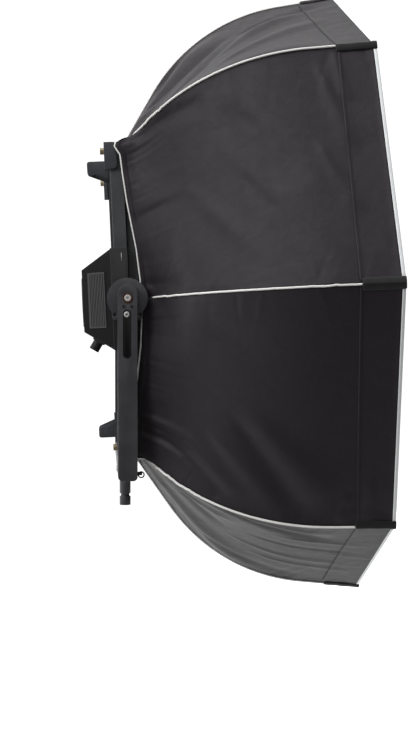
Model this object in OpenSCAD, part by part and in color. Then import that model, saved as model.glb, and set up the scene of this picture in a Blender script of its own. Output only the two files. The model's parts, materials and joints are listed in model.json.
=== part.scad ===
// Octagonal studio softbox on a panel light head in a yoke.
// Millimetres. +X is the way the light shines, +Z is up. The origin is the shoulder of the yoke's
// spigot, on its axis. Head parts are drawn level about the tilt axis and then raised and tilted.

/* [Softbox] */
// Distance of each rod tip from the optical axis
tip_r = 750; // [735:5:765]
// Distance of the front rim from the tilt axis
rim_x = 560; // [550:5:580]
// Depth of the plain band behind the rim
band_depth = 82; // [70:1:95]
// Thickness of the cloth
cloth = 1.5; // [1.2:0.1:1.8]
// Diameter of a rod
rod_d = 8; // [6:0.5:8.5]
// Distance of the inner diffuser from the tilt axis
baffle_x = 235; // [215:5:260]
// Distance of the inner diffuser's corners from the optical axis
baffle_r = 622; // [600:1:624]

/* [Lamp head] */
// Width of the lamp
lamp_w = 750; // [740:1:752]
// Height of the lamp
lamp_h = 704; // [698:1:705]
// Front face of the lamp, from the tilt axis
lamp_front = 5; // [3:0.5:6]
// Back face of the lamp, from the tilt axis
lamp_back = -26; // [-26.5:0.5:-25.5]
// Back face of the rear housing, from the tilt axis
box_back = -102; // [-106:1:-101]
// Height of the rear housing at the lamp
box_h = 230; // [226:1:240]

/* [Yoke] */
// Gap between the faces of the two arms
yoke_gap = 784; // [783:1:790]
// Thickness of an arm
arm_t = 38; // [36:1:42]
// Width of an arm
arm_w = 44; // [40:1:44]
// Distance from the tilt axis down to the crossbar
reach = 380; // [378:1:386]
// Height of the crossbar
bar_h = 32; // [30:1:36]
// Radius of the tilt hub
hub_r = 46; // [44:0.5:46]
// Diameter of the spigot
pin_d = 28; // [16:0.1:28.6]
// Length of the spigot above its groove
pin_len = 55; // [45:1:70]
// Nose-up angle of the head as it stands
rest_tilt = 2.5; // [2.4:0.1:3.5]

/* [Hidden] */
$fn = 48;

clear = 0.3;
collar_h = 16;
pivot_z = collar_h + bar_h + reach;
arm_in = yoke_gap / 2;
arm_out = arm_in + arm_t;

// The line of a seam, in a plane through the optical axis: where it leaves the frame (distance
// forward, distance from the axis), its angle there, its angle at the rim and its bend radius.
end_line = [[13, 394], 57.7, 8, 454];
corner_line = [[29, 518], 51, 3.5, 500];
side_line = [[56, 384], 62, 8, 420];
rod_count = 8;
rod_step = 360 / rod_count;
rod_inset = 10;
panel_rows = 14;

// Softbox frame: the rails' outer half sizes, their width, back and front faces
frame_y = 366;
frame_z = 358;
rail_w = 24;
rail_back = 7;
rail_front = 27;
rail_wall = 2;
plate_t = 3;
socket_d = 12;
clamp_y = 320;
clamp_t = 10;
clamp_drop = 50;
screw_x = lamp_back - 12;
screw_spot = [352, 339];

fan_y = 150;
fan_size = 120;
fan_bore = 56;
fan_depth = 25;
wall = 3;
fan_back = box_back + wall;

// ---------- seam lines ----------

function heading_at(a) = [cos(a), sin(a)];
function outward(a) = [-sin(a), cos(a)];
function line_of(k) = k % 2 == 1 ? corner_line : (k % 4 == 2 ? end_line : side_line);
function rim() = [rim_x, tip_r];
function first_leg(l) =
    cross(rim() - l[0], heading_at(l[2])) / cross(heading_at(l[1]), heading_at(l[2]));
function last_leg(l) =
    cross(heading_at(l[1]), rim() - l[0]) / cross(heading_at(l[1]), heading_at(l[2]));
function tangent(l) = l[3] * tan((l[1] - l[2]) / 2);
function bend_start(l) = first_leg(l) - tangent(l);
function bend_end(l) = bend_start(l) + l[3] * (l[1] - l[2]) * PI / 180;
function line_length(l) = bend_end(l) + last_leg(l) - tangent(l);
function heading(l, d) =
    d < bend_start(l) ? l[1] : (d > bend_end(l) ? l[2] : l[1] - (d - bend_start(l)) / l[3] * 180 / PI);
function bend_centre(l) =
    l[0] + bend_start(l) * heading_at(l[1]) - l[3] * outward(l[1]);

// The point of line l that is d along it from the frame and o outside it
function line_point(l, d, o) =
    d < bend_start(l) ? l[0] + d * heading_at(l[1]) + o * outward(l[1])
    : d > bend_end(l) ? rim() - (line_length(l) - d) * heading_at(l[2]) + o * outward(l[2])
    : bend_centre(l) + (l[3] + o) * outward(heading(l, d));

function on_rod(k, p) = [p.x, p.y * cos(rod_step * k), p.y * sin(rod_step * k)];
function seam(k, d, o) = on_rod(k, line_point(line_of(k), d, o));
function mix(a, b, t) = a + (b - a) * t;

// ---------- shared shapes ----------

// Raises the level head to the tilt axis and tilts it
module head() {
    translate([0, 0, pivot_z]) rotate([0, -rest_tilt, 0]) children();
}

// Turns the XZ plane onto the plane of rod k
module rod_plane(k) {
    rotate([rod_step * k - 90, 0, 0]) children();
}

module both_sides() {
    children();
    mirror([0, 1, 0]) children();
}

module top_and_bottom() {
    children();
    mirror([0, 0, 1]) children();
}

module box(low, high) {
    translate(low) cube(high - low);
}

// The two triangles of one four-sided patch, corners in order, split from a to c
function split_at(a, b, c, d) = [[a, b, c], [a, c, d]];

// A sheet through rows of four points: two on its outer face, then two on its inner face
module loft(rows) {
    last = len(rows) - 1;
    polyhedron(
        points = [for (row = rows) each row],
        faces = concat(
            [[0, 1, 2, 3]],
            [for (i = [0 : 4 : 4 * last - 1]) each concat(
                split_at(i + 4, i + 5, i + 1, i),
                split_at(i + 5, i + 6, i + 2, i + 1),
                split_at(i + 7, i + 3, i + 2, i + 6),
                split_at(i + 7, i + 4, i, i + 3))],
            [[4 * last + 3, 4 * last + 2, 4 * last + 1, 4 * last]]
        )
    );
}

module rounded_rect(size, r) {
    for (sx = [-1, 1]) for (sy = [-1, 1])
        translate([sx * (size.x / 2 - r), sy * (size.y / 2 - r)]) circle(r);
    square([size.x, size.y - 2 * r], center = true);
    square([size.x - 2 * r, size.y], center = true);
}

// A straight tube from point p of the XZ plane, at an angle above +X
module leg(p, angle, length, r) {
    translate([p.x, 0, p.y]) rotate([0, 90 - angle, 0]) cylinder(h = length, r = r);
}

// A round bar that follows line l, o outside it, from distance a to distance b. The straight
// legs run a little way into the bend, which is a hair thinner.
module bent_bar(l, o, r, a, b) {
    lap = 1;
    end_leg = b - bend_end(l);
    after_bend = line_point(l, bend_end(l) + 0.001, o);
    leg(line_point(l, a, o), l[1], bend_start(l) - a + lap, r);
    translate([bend_centre(l).x, 0, bend_centre(l).y]) rotate([90, 0, 0]) rotate([0, 0, l[2] + 90])
        rotate_extrude(angle = l[1] - l[2]) translate([l[3] + o, 0]) circle(r - 0.02);
    leg(after_bend - lap * heading_at(l[2]), l[2], end_leg + lap, r);
}

// A disc lying across the Y axis, from y = a to y = b
module disc_y(r, a, b) {
    translate([0, a, 0]) rotate([-90, 0, 0]) cylinder(h = b - a, r = r);
}

// A disc lying across the X axis, from x = a to x = b
module disc_x(r, a, b) {
    translate([a, 0, 0]) rotate([0, 90, 0]) cylinder(h = b - a, r = r);
}

// ---------- softbox cloth ----------

// The cloth between rods k and k + 1, from share a to share b of the seams' length
function cloth_rows(k, from, to, rows) = [
    for (i = [0 : rows])
        let (
            l0 = line_of(k),
            l1 = line_of(k + 1),
            d0 = mix(from[0], to[0], i / rows),
            d1 = mix(from[1], to[1], i / rows)
        )
        [seam(k, d0, 0), seam(k + 1, d1, 0), seam(k + 1, d1, -cloth), seam(k, d0, -cloth)]
];
function lengths(k) = [line_length(line_of(k)), line_length(line_of(k + 1))];
function band_starts(k) = lengths(k) - [band_depth, band_depth];

module shell_panel(k) {
    color("#3a393c") loft(cloth_rows(k, [0, 0], band_starts(k), panel_rows));
}

module front_band() {
    color("#333236") for (k = [0 : rod_count - 1])
        loft(cloth_rows(k, band_starts(k) + [clear, clear], lengths(k), 1));
}

// The rear hem of the side cloth, behind the arms: forward distance and height
skirt_hem = [[31, 0], [30, 42], [24, 112], [11, 216], [4, 280], [0, 325], [-12, 345]];
skirt_y = 386;

module side_skirts() {
    rows = [
        for (p = skirt_hem)
            let (t = p.y / 366)
            [mix(seam(0, 0, 0), seam(1, 0, 0), t), [p.x, skirt_y + cloth, p.y],
             [p.x, skirt_y, p.y], mix(seam(0, 0, -cloth), seam(1, 0, -cloth), t)]
    ];
    color("#333236") both_sides() top_and_bottom() loft(rows);
}

// Cloth that closes the gap between the end rails and the end panels
module rear_collar() {
    rows = [
        for (t = [0.045, 0.85])
            let (
                a = mix(seam(2, 0, 0), seam(1, 0, 0), t),
                b = mix(seam(2, 0, -cloth), seam(1, 0, -cloth), t)
            )
            [a, b, [18, b.y, frame_z + clear], [16, b.y, frame_z + clear]]
    ];
    color("#1c1c1e") both_sides() top_and_bottom() loft(rows);
}

module seam_piping() {
    piping_r = 2.5;
    color("gainsboro") for (k = [0 : rod_count - 1]) {
        l = line_of(k);
        rod_plane(k) bent_bar(l, piping_r + clear, piping_r, 4, line_length(l) - band_depth - 2);
    }
}

module rod_pockets() {
    pocket_w = 27;
    pocket_t = 5;
    overhang = 8;
    color("#161617") for (k = [0 : rod_count - 1]) {
        l = line_of(k);
        p = line_point(l, line_length(l) - band_depth, clear);
        rod_plane(k) translate([p.x, 0, p.y]) rotate([0, -l[2], 0])
            linear_extrude(pocket_t) translate([(band_depth + overhang) / 2, 0])
                rounded_rect([band_depth + overhang, pocket_w], 3);
    }
}

module octagon(r) {
    polygon([for (k = [0 : rod_count - 1]) r * [cos(rod_step * k), sin(rod_step * k)]]);
}

// A flat octagon of cloth across the axis, from x = a to x = b
module octagon_sheet(r, a, b) {
    translate([a, 0, 0]) rotate([90, 0, 90]) linear_extrude(b - a) octagon(r);
}

module inner_diffuser() {
    color("white") octagon_sheet(baffle_r, baffle_x, baffle_x + cloth);
}

// Distance from the optical axis of a bent rod's inner edge, where it passes x
function rod_inside(l, x) = bend_centre(l).y
    + sqrt(pow(l[3] - rod_inset - rod_d / 2, 2) - pow(x - bend_centre(l).x, 2));

module diffuser_straps() {
    strap_x = baffle_x + cloth + clear;
    color("black") for (k = [0 : rod_count - 1])
        rod_plane(k) box([strap_x, -10, 560], [strap_x + 1.7, 10, rod_inside(line_of(k), strap_x) - 0.5]);
}

module outer_diffuser() {
    hem = 14;
    hem_depth = 7;
    r = tip_r - 2;
    color("white") {
        octagon_sheet(r - hem, rim_x + 2, rim_x + 2 + cloth);
        difference() {
            octagon_sheet(r, rim_x + clear, rim_x + hem_depth);
            octagon_sheet(r - hem, rim_x, rim_x + hem_depth + 1);
        }
    }
}

// ---------- rods and softbox frame ----------

module rods() {
    color("#b8bcc0") for (k = [0 : rod_count - 1]) {
        l = line_of(k);
        rod_plane(k) bent_bar(l, -rod_inset, rod_d / 2, 4, line_length(l) - 16);
    }
}

module rod_tips() {
    color("black") for (k = [0 : rod_count - 1]) {
        l = line_of(k);
        rod_plane(k) leg(line_point(l, line_length(l) - 16, -rod_inset), l[2], 12.5, 6);
    }
}

// How far behind the seam's start a socket tube begins, and its foot: low and high corners
function socket_back(k) = k % 2 == 1 ? 2 : (k % 4 == 2 ? 14 : 4);
function socket_foot(k) =
    k % 2 == 1 ? [[rail_front + plate_t, -6, 480], [46, 6, 509]]
    : k % 4 == 2 ? [[rail_back, -13, frame_z], [rail_front, 13, 376]]
    : [[rail_front, -12, frame_y - 20], [70, 12, 376]];

module rod_sockets() {
    socket_len = 46;
    color("#2b2b2d") for (k = [0 : rod_count - 1]) rod_plane(k) {
        l = line_of(k);
        foot = socket_foot(k);
        difference() {
            union() {
                leg(line_point(l, -socket_back(k), -rod_inset), l[1], socket_len + socket_back(k), socket_d / 2);
                box(foot[0], foot[1]);
            }
            leg(line_point(l, 4, -rod_inset), l[1], socket_len, rod_d / 2 + 0.05);
        }
    }
}

// A square tube from y = a to y = b, or along Z where upright
module rail(low, high, bore_low, bore_high) {
    color("#2e2e30") difference() {
        box(low, high);
        box(bore_low, bore_high);
    }
}

module frame_rail_end() {
    inner = frame_z - rail_w;
    rail([rail_back, -frame_y, inner], [rail_front, frame_y, frame_z],
         [rail_back + rail_wall, -frame_y - 1, inner + rail_wall],
         [rail_front - rail_wall, frame_y + 1, frame_z - rail_wall]);
}

module frame_rail_side() {
    inner = frame_y - rail_w;
    half = frame_z - rail_w;
    rail([rail_back, inner, -half], [rail_front, frame_y, half],
         [rail_back + rail_wall, inner + rail_wall, -half - 1],
         [rail_front - rail_wall, frame_y - rail_wall, half + 1]);
}

module frame_corner_plates() {
    arm = 64;
    margin = 10;
    color("#2b2b2d") both_sides() top_and_bottom() difference() {
        box([rail_front, frame_y - margin - arm, frame_z - margin - arm],
            [rail_front + plate_t, frame_y - margin, frame_z - margin]);
        box([rail_front - 1, frame_y - margin - arm - 1, frame_z - margin - arm - 1],
            [rail_front + plate_t + 1, frame_y - rail_w, frame_z - rail_w]);
    }
}

module frame_screws() {
    color("silver") both_sides() top_and_bottom()
        for (spot = [[frame_y - 62, frame_z - 15], [frame_y - 15, frame_z - 62]])
            translate([rail_front + plate_t, spot.x, spot.y]) difference() {
                disc_x(4, 0, 3);
                translate([1, 0, 0]) rotate([0, 90, 0]) cylinder(h = 3, r = 2, $fn = 6);
            }
}

// One corner jaw that hooks over the lamp and is pinched by a thumb screw
module frame_clamp() {
    top = frame_z - 2;
    back = screw_x;
    low = top - clamp_drop - clamp_t;
    cheek = lamp_w / 2 + 1;
    cheek_t = 8;
    difference() {
        union() {
            box([back, clamp_y, lamp_h / 2 + clear], [rail_back, frame_y, frame_z]);
            box([back, clamp_y, low], [back + clamp_t, cheek + cheek_t, top]);
            translate([0, cheek + cheek_t, 0]) rotate([90, 0, 0]) linear_extrude(cheek_t)
                translate([back + 14, (low + top) / 2]) rounded_rect([28, top - low], 9);
        }
        translate([back - 1, screw_spot.x, screw_spot.y]) disc_x(3.08, 0, clamp_t + 2);
    }
}

module frame_clamps() {
    color("#39393c") both_sides() top_and_bottom() frame_clamp();
}

// Thumb screws: which side (y) and which end (z) each one is at
thumb_spots = [[-1, 1], [1, 1], [-1, -1], [1, -1]];

module thumb_screw(n) {
    spot = thumb_spots[n];
    flutes = 16;
    head_r = 7.5;
    color("#c2a878") translate([screw_x, spot.x * screw_spot.x, spot.y * screw_spot.y]) {
        disc_x(3, 0, 11.5);
        difference() {
            disc_x(head_r, -9, -clear);
            for (i = [0 : flutes - 1]) rotate([360 / flutes * i, 0, 0])
                translate([-10, 0, head_r + 0.4]) rotate([0, 90, 0]) cylinder(h = 11, r = 1);
        }
    }
}

// ---------- lamp ----------

rail_t = 8;
board_x = lamp_back + 9;
driver_x = lamp_back - 12;

// The closing sheet of the lamp, with a stud under each corner of both boards
module lamp_back_plate() {
    color("#2a2a2c") {
        box([lamp_back, -lamp_w / 2 + rail_t, -lamp_h / 2 + rail_t],
            [lamp_back + wall, lamp_w / 2 - rail_t, lamp_h / 2 - rail_t]);
        for (y = [-300, 0, 300]) for (z = [-290, 0, 290])
            translate([0, y, z]) disc_x(5, lamp_back + 1, board_x);
        for (y = [-60, 60]) for (z = [-42, 42])
            translate([0, y, z]) disc_x(3, driver_x, lamp_back + 1);
    }
}

module lamp_side_rails() {
    color("#3c3d3f") both_sides() box([lamp_back, lamp_w / 2 - rail_t, -lamp_h / 2],
                                      [lamp_front, lamp_w / 2, lamp_h / 2]);
}

module lamp_end_rails() {
    color("#3c3d3f") top_and_bottom() box([lamp_back, -lamp_w / 2 + rail_t, lamp_h / 2 - rail_t],
                                          [lamp_front, lamp_w / 2 - rail_t, lamp_h / 2]);
}

module lamp_front_panel() {
    color("white") box([lamp_front - 5, -lamp_w / 2 + rail_t, -lamp_h / 2 + rail_t],
                       [lamp_front - 2, lamp_w / 2 - rail_t, lamp_h / 2 - rail_t]);
}

module led_board() {
    color("darkgreen") box([board_x, -345, -325], [board_x + 2, 345, 325]);
}

module led_strips() {
    strips = 9;
    pitch = 70;
    color("lightyellow") for (i = [0 : strips - 1])
        translate([board_x + 2, 0, (i - (strips - 1) / 2) * pitch]) box([0, -335, -6], [3, 335, 6]);
}

// Outline of the rear housing across the lamp: half height at the lamp and at the back
box_step = 9;
box_back_half = box_h / 2 - 43;
box_y = 360;
box_back_y = 300;

module housing_block(inset) {
    front = lamp_back + (inset > 0 ? 1 : 0);
    hull() {
        box([lamp_back - box_step, -box_y + inset, -box_h / 2 + inset],
            [front, box_y - inset, box_h / 2 - inset]);
        box([box_back + inset, -box_back_y + inset, -box_back_half + inset],
            [box_back + inset + 0.1, box_back_y - inset, box_back_half - inset]);
    }
}

// The louvred window of each sloping end
vent_mid = [(lamp_back - box_step + box_back) / 2, (box_y + box_back_y) / 2, 0];
vent_slope = atan2(box_y - box_back_y, lamp_back - box_step - box_back);
vent_l = 44;
vent_h = 120;

module rear_housing() {
    color("#2f3032") difference() {
        housing_block(0);
        housing_block(wall);
        for (s = [-1, 1]) translate([0, s * fan_y, 0]) disc_x(fan_bore, box_back - 1, box_back + wall + 1);
    }
}

module side_vents() {
    louvres = 9;
    pitch = vent_l / louvres;
    color("#3b3c3e") both_sides() translate(vent_mid) rotate([0, 0, vent_slope]) {
        box([-vent_l / 2 - 4, clear, -vent_h / 2 - 4], [vent_l / 2 + 4, 1.6, vent_h / 2 + 4]);
        for (i = [0 : louvres - 1])
            translate([(i - (louvres - 1) / 2) * pitch, 0, 0])
                box([-pitch / 4, 1.6, -vent_h / 2], [pitch / 4, 3, vent_h / 2]);
    }
}

// A guard over each fan: flat rings on two crossed bars
module fan_guards() {
    rings = [12, 23, 34, 45, 56];
    color("#1d1d1f") for (s = [-1, 1]) translate([box_back, s * fan_y, 0]) {
        rotate([0, -90, 0]) for (r = rings)
            rotate_extrude() translate([r, 1]) square([3, 2]);
        for (a = [45, 135]) rotate([a, 0, 0]) box([-1.6, -57, -1.5], [0, 57, 1.5]);
    }
}

module fan_frames() {
    color("black") for (s = [-1, 1]) translate([fan_back, s * fan_y, 0]) {
        difference() {
            box([0, -fan_size / 2, -fan_size / 2], [fan_depth, fan_size / 2, fan_size / 2]);
            disc_x(fan_bore, -1, fan_depth + 1);
        }
        difference() {
            union() {
                disc_x(19, fan_depth - 4, fan_depth);
                for (a = [0 : 120 : 240]) rotate([a, 0, 0])
                    box([fan_depth - 3.5, -2, 12], [fan_depth - 0.5, 2, fan_bore + 1.5]);
            }
            disc_x(2.06, fan_depth - 5, fan_depth + 1);
        }
    }
}

module fan_rotor(side) {
    blades = 7;
    color("#303033") translate([fan_back, side * fan_y, 0]) {
        disc_x(20, 3, fan_depth - 5);
        disc_x(2, fan_depth - 5, fan_depth);
        for (i = [0 : blades - 1]) rotate([360 / blades * i, 0, 0]) translate([fan_depth / 2 - 1, 0, 18])
            rotate([0, 0, 35]) box([-1, -9, 0], [1, 9, 35]);
    }
}

module driver_board() {
    translate([driver_x, 0, 0]) {
        color("darkgreen") box([-2, -70, -50], [0, 70, 50]);
        color("black") {
            for (y = [-45, -15, 15]) translate([0, y, 20]) disc_x(9, -14, -1);
            box([-20, 35, -30], [-1, 62, 8]);
        }
    }
}

// The middle of the housing's lower slope, and the slope's lean
slope_mid = [(lamp_back - box_step + box_back) / 2, -(box_h / 2 + box_back_half) / 2];
slope_lean = atan2(box_h / 2 - box_back_half, lamp_back - box_step - box_back);

module connector(y, r, length) {
    translate([slope_mid.x, y, slope_mid.y]) rotate([0, 180 + slope_lean, 0]) {
        difference() {
            union() {
                cylinder(h = 4, r = r + 4);
                cylinder(h = length, r = r);
            }
            translate([0, 0, length - 8]) cylinder(h = 9, r = r - 2.5);
        }
        translate([0, 0, length - 8]) cylinder(h = 6, r = r / 3);
    }
}

module power_connector() {
    color("#1a1a1b") connector(-200, 12, 26);
}

// Carrying handles behind the top and the bottom of the lamp. The lower one stands nearer the axis.
handle_end = 46;
cheek_w = 10;
bar_mid = [-69, 340];
lower_shift = 16;

module at_handles() {
    children();
    translate([0, 0, lower_shift]) mirror([0, 0, 1]) children();
}

module handle_bars() {
    color("#47484a") at_handles() translate([bar_mid.x, handle_end, bar_mid.y])
        rotate([90, 0, 0]) linear_extrude(2 * handle_end) rounded_rect([22, 24], 5);
}

module handle_brackets() {
    color("#323335") both_sides() at_handles()
        translate([0, handle_end + cheek_w, 0]) rotate([90, 0, 0]) linear_extrude(cheek_w)
            polygon([[lamp_back, 352], [-76, 352], [-80, 348], [-78, 328], [-33, 310], [lamp_back, 310]]);
}

bracket_out = arm_in - 9;

module side_brackets() {
    half = box_h / 2 + 1;
    color("#2a2b2d") both_sides() difference() {
        box([lamp_back - box_step, lamp_w / 2, -half], [lamp_front, bracket_out, half]);
        disc_y(8, lamp_w / 2 - 1, bracket_out + 1);
    }
}

module tilt_washers() {
    color("#77787a") both_sides() difference() {
        disc_y(24, bracket_out, arm_in - clear);
        disc_y(8, bracket_out - 1, arm_in);
    }
}

// Pivot bolts: they turn with the head. The far one reaches through the lever's boss.
module tilt_bolts() {
    head_r = 7.5;
    head_h = 4;
    key_r = 3;
    color("silver") {
        mirror([0, 1, 0]) {
            disc_y(8, lamp_w / 2, arm_out - 0.5);
            difference() {
                disc_y(head_r, arm_out - 1, arm_out - 1 + head_h);
                translate([0, arm_out + 0.6, 0]) rotate([-90, 0, 0])
                    cylinder(h = head_h, r = key_r, $fn = 6);
            }
        }
        disc_y(8, lamp_w / 2, arm_out + 14);
    }
}

// ---------- yoke ----------

hub_t = 14;
arm_top = 10;
arm_foot = [arm_w, 28];
arm_foot_r = 10;
bush_r = 9.5;
hub_foot = 49;
arm_low = -reach - bar_h;

// The bar of an arm: full depth below the hub, thinner over it
module yoke_arm() {
    color("#37383a") translate([0, 0, pivot_z]) difference() {
        union() {
            translate([0, arm_out, 0]) rotate([90, 0, 0]) linear_extrude(arm_t - hub_t) {
                translate([-arm_w / 2, arm_low + 14]) square([arm_w, arm_top - arm_low - 14]);
                translate([0, arm_top]) circle(arm_w / 2);
                translate([0, arm_low + 14]) rounded_rect(arm_foot, arm_foot_r);
            }
            translate([0, arm_in + hub_t + 0.01, 0]) rotate([90, 0, 0]) linear_extrude(hub_t + 0.01) {
                translate([-arm_w / 2, arm_low + 14]) square([arm_w, -hub_foot - 1 - arm_low - 14]);
                translate([0, arm_low + 14]) rounded_rect(arm_foot, arm_foot_r);
            }
        }
        disc_y(8.06, arm_in - 1, arm_out + 1);
        disc_y(bush_r, arm_out - 10, arm_out + 1);
    }
}

module tilt_hubs() {
    color("#3d3e40") both_sides() translate([0, arm_in + hub_t, pivot_z]) rotate([90, 0, 0])
        difference() {
            linear_extrude(hub_t) {
                circle(hub_r);
                translate([0, -hub_foot / 2]) rounded_rect([70, hub_foot], 8);
            }
            translate([0, 0, -1]) cylinder(h = hub_t + 2, r = 8.06);
            for (s = [-1, 1]) translate([s * 29, -37, -1]) cylinder(h = 7, r = 3.5);
        }
}

module yoke_crossbar() {
    color("#37383a") translate([0, 0, collar_h]) difference() {
        translate([0, arm_in, bar_h / 2]) rotate([90, 0, 0]) linear_extrude(yoke_gap)
            rounded_rect([arm_w, bar_h], 8);
        translate([0, 0, bar_h - 10]) cylinder(h = 11, r = 12);
        translate([0, 0, -1]) cylinder(h = bar_h, r = 6.05);
    }
}

// The bushes the pivot bolts turn in, each with a flange on its arm
module tilt_bushes() {
    color("#8a4b32") both_sides() translate([0, arm_out, pivot_z]) difference() {
        union() {
            disc_y(bush_r, -10, 1);
            disc_y(10.5, 0, 2.5);
        }
        disc_y(8.06, -11, 3);
    }
}

// The two cap screws under each bush and the screw that holds each plate
module yoke_screws() {
    both_sides() translate([0, arm_out, pivot_z]) {
        color("silver") translate([-2, 0, -37]) disc_y(5.4, 1.3, 3);
        color("black") for (s = [-1, 1]) translate([s * 9, 0, -19]) disc_y(3.2, 0, 1.5);
    }
}

module arm_plates() {
    plate_len = 110;
    color("#121213") both_sides() translate([-2, arm_out + 1.3, pivot_z - 25 - plate_len / 2])
        rotate([90, 0, 0]) linear_extrude(1.3) rounded_rect([18, plate_len], 8.9);
}

module spigot() {
    tail = 22;
    groove = 8;
    color("silver") {
        translate([0, 0, -pin_len]) cylinder(h = pin_len, r = pin_d / 2);
        translate([0, 0, -pin_len - groove]) cylinder(h = groove, r = pin_d / 2 - 3);
        translate([0, 0, -pin_len - groove - tail]) cylinder(h = tail, r = pin_d / 2);
        cylinder(h = collar_h, r = 22);
        translate([0, 0, collar_h]) cylinder(h = bar_h - 10, r = 6);
        translate([0, 0, collar_h + bar_h - 10]) cylinder(h = 8, r = 10, $fn = 6);
    }
}

// The tilt lock on the far arm: a boss on the end of the pivot bolt and a lever down the arm
module lock_lever() {
    boss_r = 17;
    boss_h = 20;
    reach_down = 95;
    color("#202022") translate([0, arm_out + 2.5 + clear, pivot_z]) difference() {
        union() {
            disc_y(boss_r, 0, boss_h);
            translate([0, boss_h - 1, 0]) rotate([90, 0, 0]) linear_extrude(9) {
                translate([-7, -reach_down]) square([14, reach_down]);
                translate([0, -reach_down]) circle(9);
            }
        }
        disc_y(8.06, -1, 12);
    }
}

staple_x = arm_w / 2 + 9.5;
staple_y = -arm_in + 24;
staple_z = collar_h + 12;

module ring_staple() {
    color("black") translate([0, staple_y, staple_z]) {
        for (s = [-1, 1]) translate([0, s * 10, 0])
            box([arm_w / 2, -2, -3], [staple_x + 2, 2, 3]);
        translate([staple_x, 0, 0]) disc_y(2, -9, 9);
    }
}

module safety_ring() {
    wire = 1.5;
    mean_r = 6.6;
    hang = mean_r - wire - 2 - clear;
    color("black") translate([staple_x, staple_y, staple_z - hang]) rotate([90, 0, 0])
        rotate_extrude() translate([mean_r, 0]) circle(wire);
}

// ---------- nodes ----------

head() shell_panel(0);  // shell_panel_1
head() shell_panel(1);  // shell_panel_2
head() shell_panel(2);  // shell_panel_3
head() shell_panel(3);  // shell_panel_4
head() shell_panel(4);  // shell_panel_5
head() shell_panel(5);  // shell_panel_6
head() shell_panel(6);  // shell_panel_7
head() shell_panel(7);  // shell_panel_8
head() front_band();
head() side_skirts();
head() rear_collar();
head() seam_piping();
head() rod_pockets();
head() rods();
head() rod_tips();
head() rod_sockets();
head() frame_rail_end();  // frame_rail_top
head() mirror([0, 0, 1]) frame_rail_end();  // frame_rail_bottom
head() frame_rail_side();  // frame_rail_left
head() mirror([0, 1, 0]) frame_rail_side();  // frame_rail_right
head() frame_corner_plates();
head() frame_clamps();
head() frame_screws();
head() thumb_screw(0);  // thumb_screw_1
head() thumb_screw(1);  // thumb_screw_2
head() thumb_screw(2);  // thumb_screw_3
head() thumb_screw(3);  // thumb_screw_4
head() inner_diffuser();
head() diffuser_straps();
head() outer_diffuser();
head() lamp_back_plate();
head() lamp_side_rails();
head() lamp_end_rails();
head() lamp_front_panel();
head() led_board();
head() led_strips();
head() rear_housing();
head() side_vents();
head() fan_guards();
head() fan_frames();
head() fan_rotor(-1);  // fan_rotor_1
head() fan_rotor(1);  // fan_rotor_2
head() driver_board();
head() power_connector();
head() handle_bars();
head() handle_brackets();
head() side_brackets();
head() tilt_washers();
head() tilt_bolts();
yoke_arm();  // yoke_arm_left
mirror([0, 1, 0]) yoke_arm();  // yoke_arm_right
yoke_crossbar();
tilt_hubs();
tilt_bushes();
yoke_screws();
arm_plates();
spigot();
lock_lever();
ring_staple();
safety_ring();
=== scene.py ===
import json
import math

import bmesh
import bpy
import numpy as np
from bpy.props import FloatProperty, FloatVectorProperty, IntProperty, PointerProperty
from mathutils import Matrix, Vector

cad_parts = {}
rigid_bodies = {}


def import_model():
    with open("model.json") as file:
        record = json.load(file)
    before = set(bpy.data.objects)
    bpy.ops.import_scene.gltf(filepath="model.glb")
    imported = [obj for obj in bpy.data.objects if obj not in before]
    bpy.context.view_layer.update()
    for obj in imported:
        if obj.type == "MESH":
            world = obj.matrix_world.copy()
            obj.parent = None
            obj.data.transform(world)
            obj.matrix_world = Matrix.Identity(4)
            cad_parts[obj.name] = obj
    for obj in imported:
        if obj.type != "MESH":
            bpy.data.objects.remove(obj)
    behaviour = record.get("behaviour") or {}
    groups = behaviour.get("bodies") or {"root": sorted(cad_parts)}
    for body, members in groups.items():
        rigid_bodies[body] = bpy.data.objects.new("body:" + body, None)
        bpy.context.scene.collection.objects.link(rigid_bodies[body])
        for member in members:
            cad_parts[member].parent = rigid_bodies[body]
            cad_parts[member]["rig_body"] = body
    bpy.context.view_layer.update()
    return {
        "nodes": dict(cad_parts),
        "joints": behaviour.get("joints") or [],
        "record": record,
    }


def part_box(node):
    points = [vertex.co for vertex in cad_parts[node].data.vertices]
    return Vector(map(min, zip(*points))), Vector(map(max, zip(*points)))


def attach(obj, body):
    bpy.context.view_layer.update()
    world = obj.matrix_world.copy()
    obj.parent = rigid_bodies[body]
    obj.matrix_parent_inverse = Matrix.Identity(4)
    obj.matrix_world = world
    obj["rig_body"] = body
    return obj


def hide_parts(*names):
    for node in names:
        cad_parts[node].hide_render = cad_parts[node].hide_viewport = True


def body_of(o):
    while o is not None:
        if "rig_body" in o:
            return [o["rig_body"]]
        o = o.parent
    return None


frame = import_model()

bl_info = {
    "name": "Octagonal softbox on a panel light",
    "version": (1, 0, 0),
    "blender": (4, 5, 0),
    "location": "3D View > Sidebar > Softbox",
    "description": "Builds the cloth, trim, finishes and studio of a tilting octagonal softbox",
    "category": "Object",
}

MM = 0.001
RODS = 8
ROD_STEP = 2 * math.pi / RODS

TILT_JOINT = next(j for j in frame["joints"] if j["name"] == "head_tilt")
PIVOT = np.array(TILT_JOINT["pos_m"])
REST_TILT = math.radians(2.5)

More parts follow.
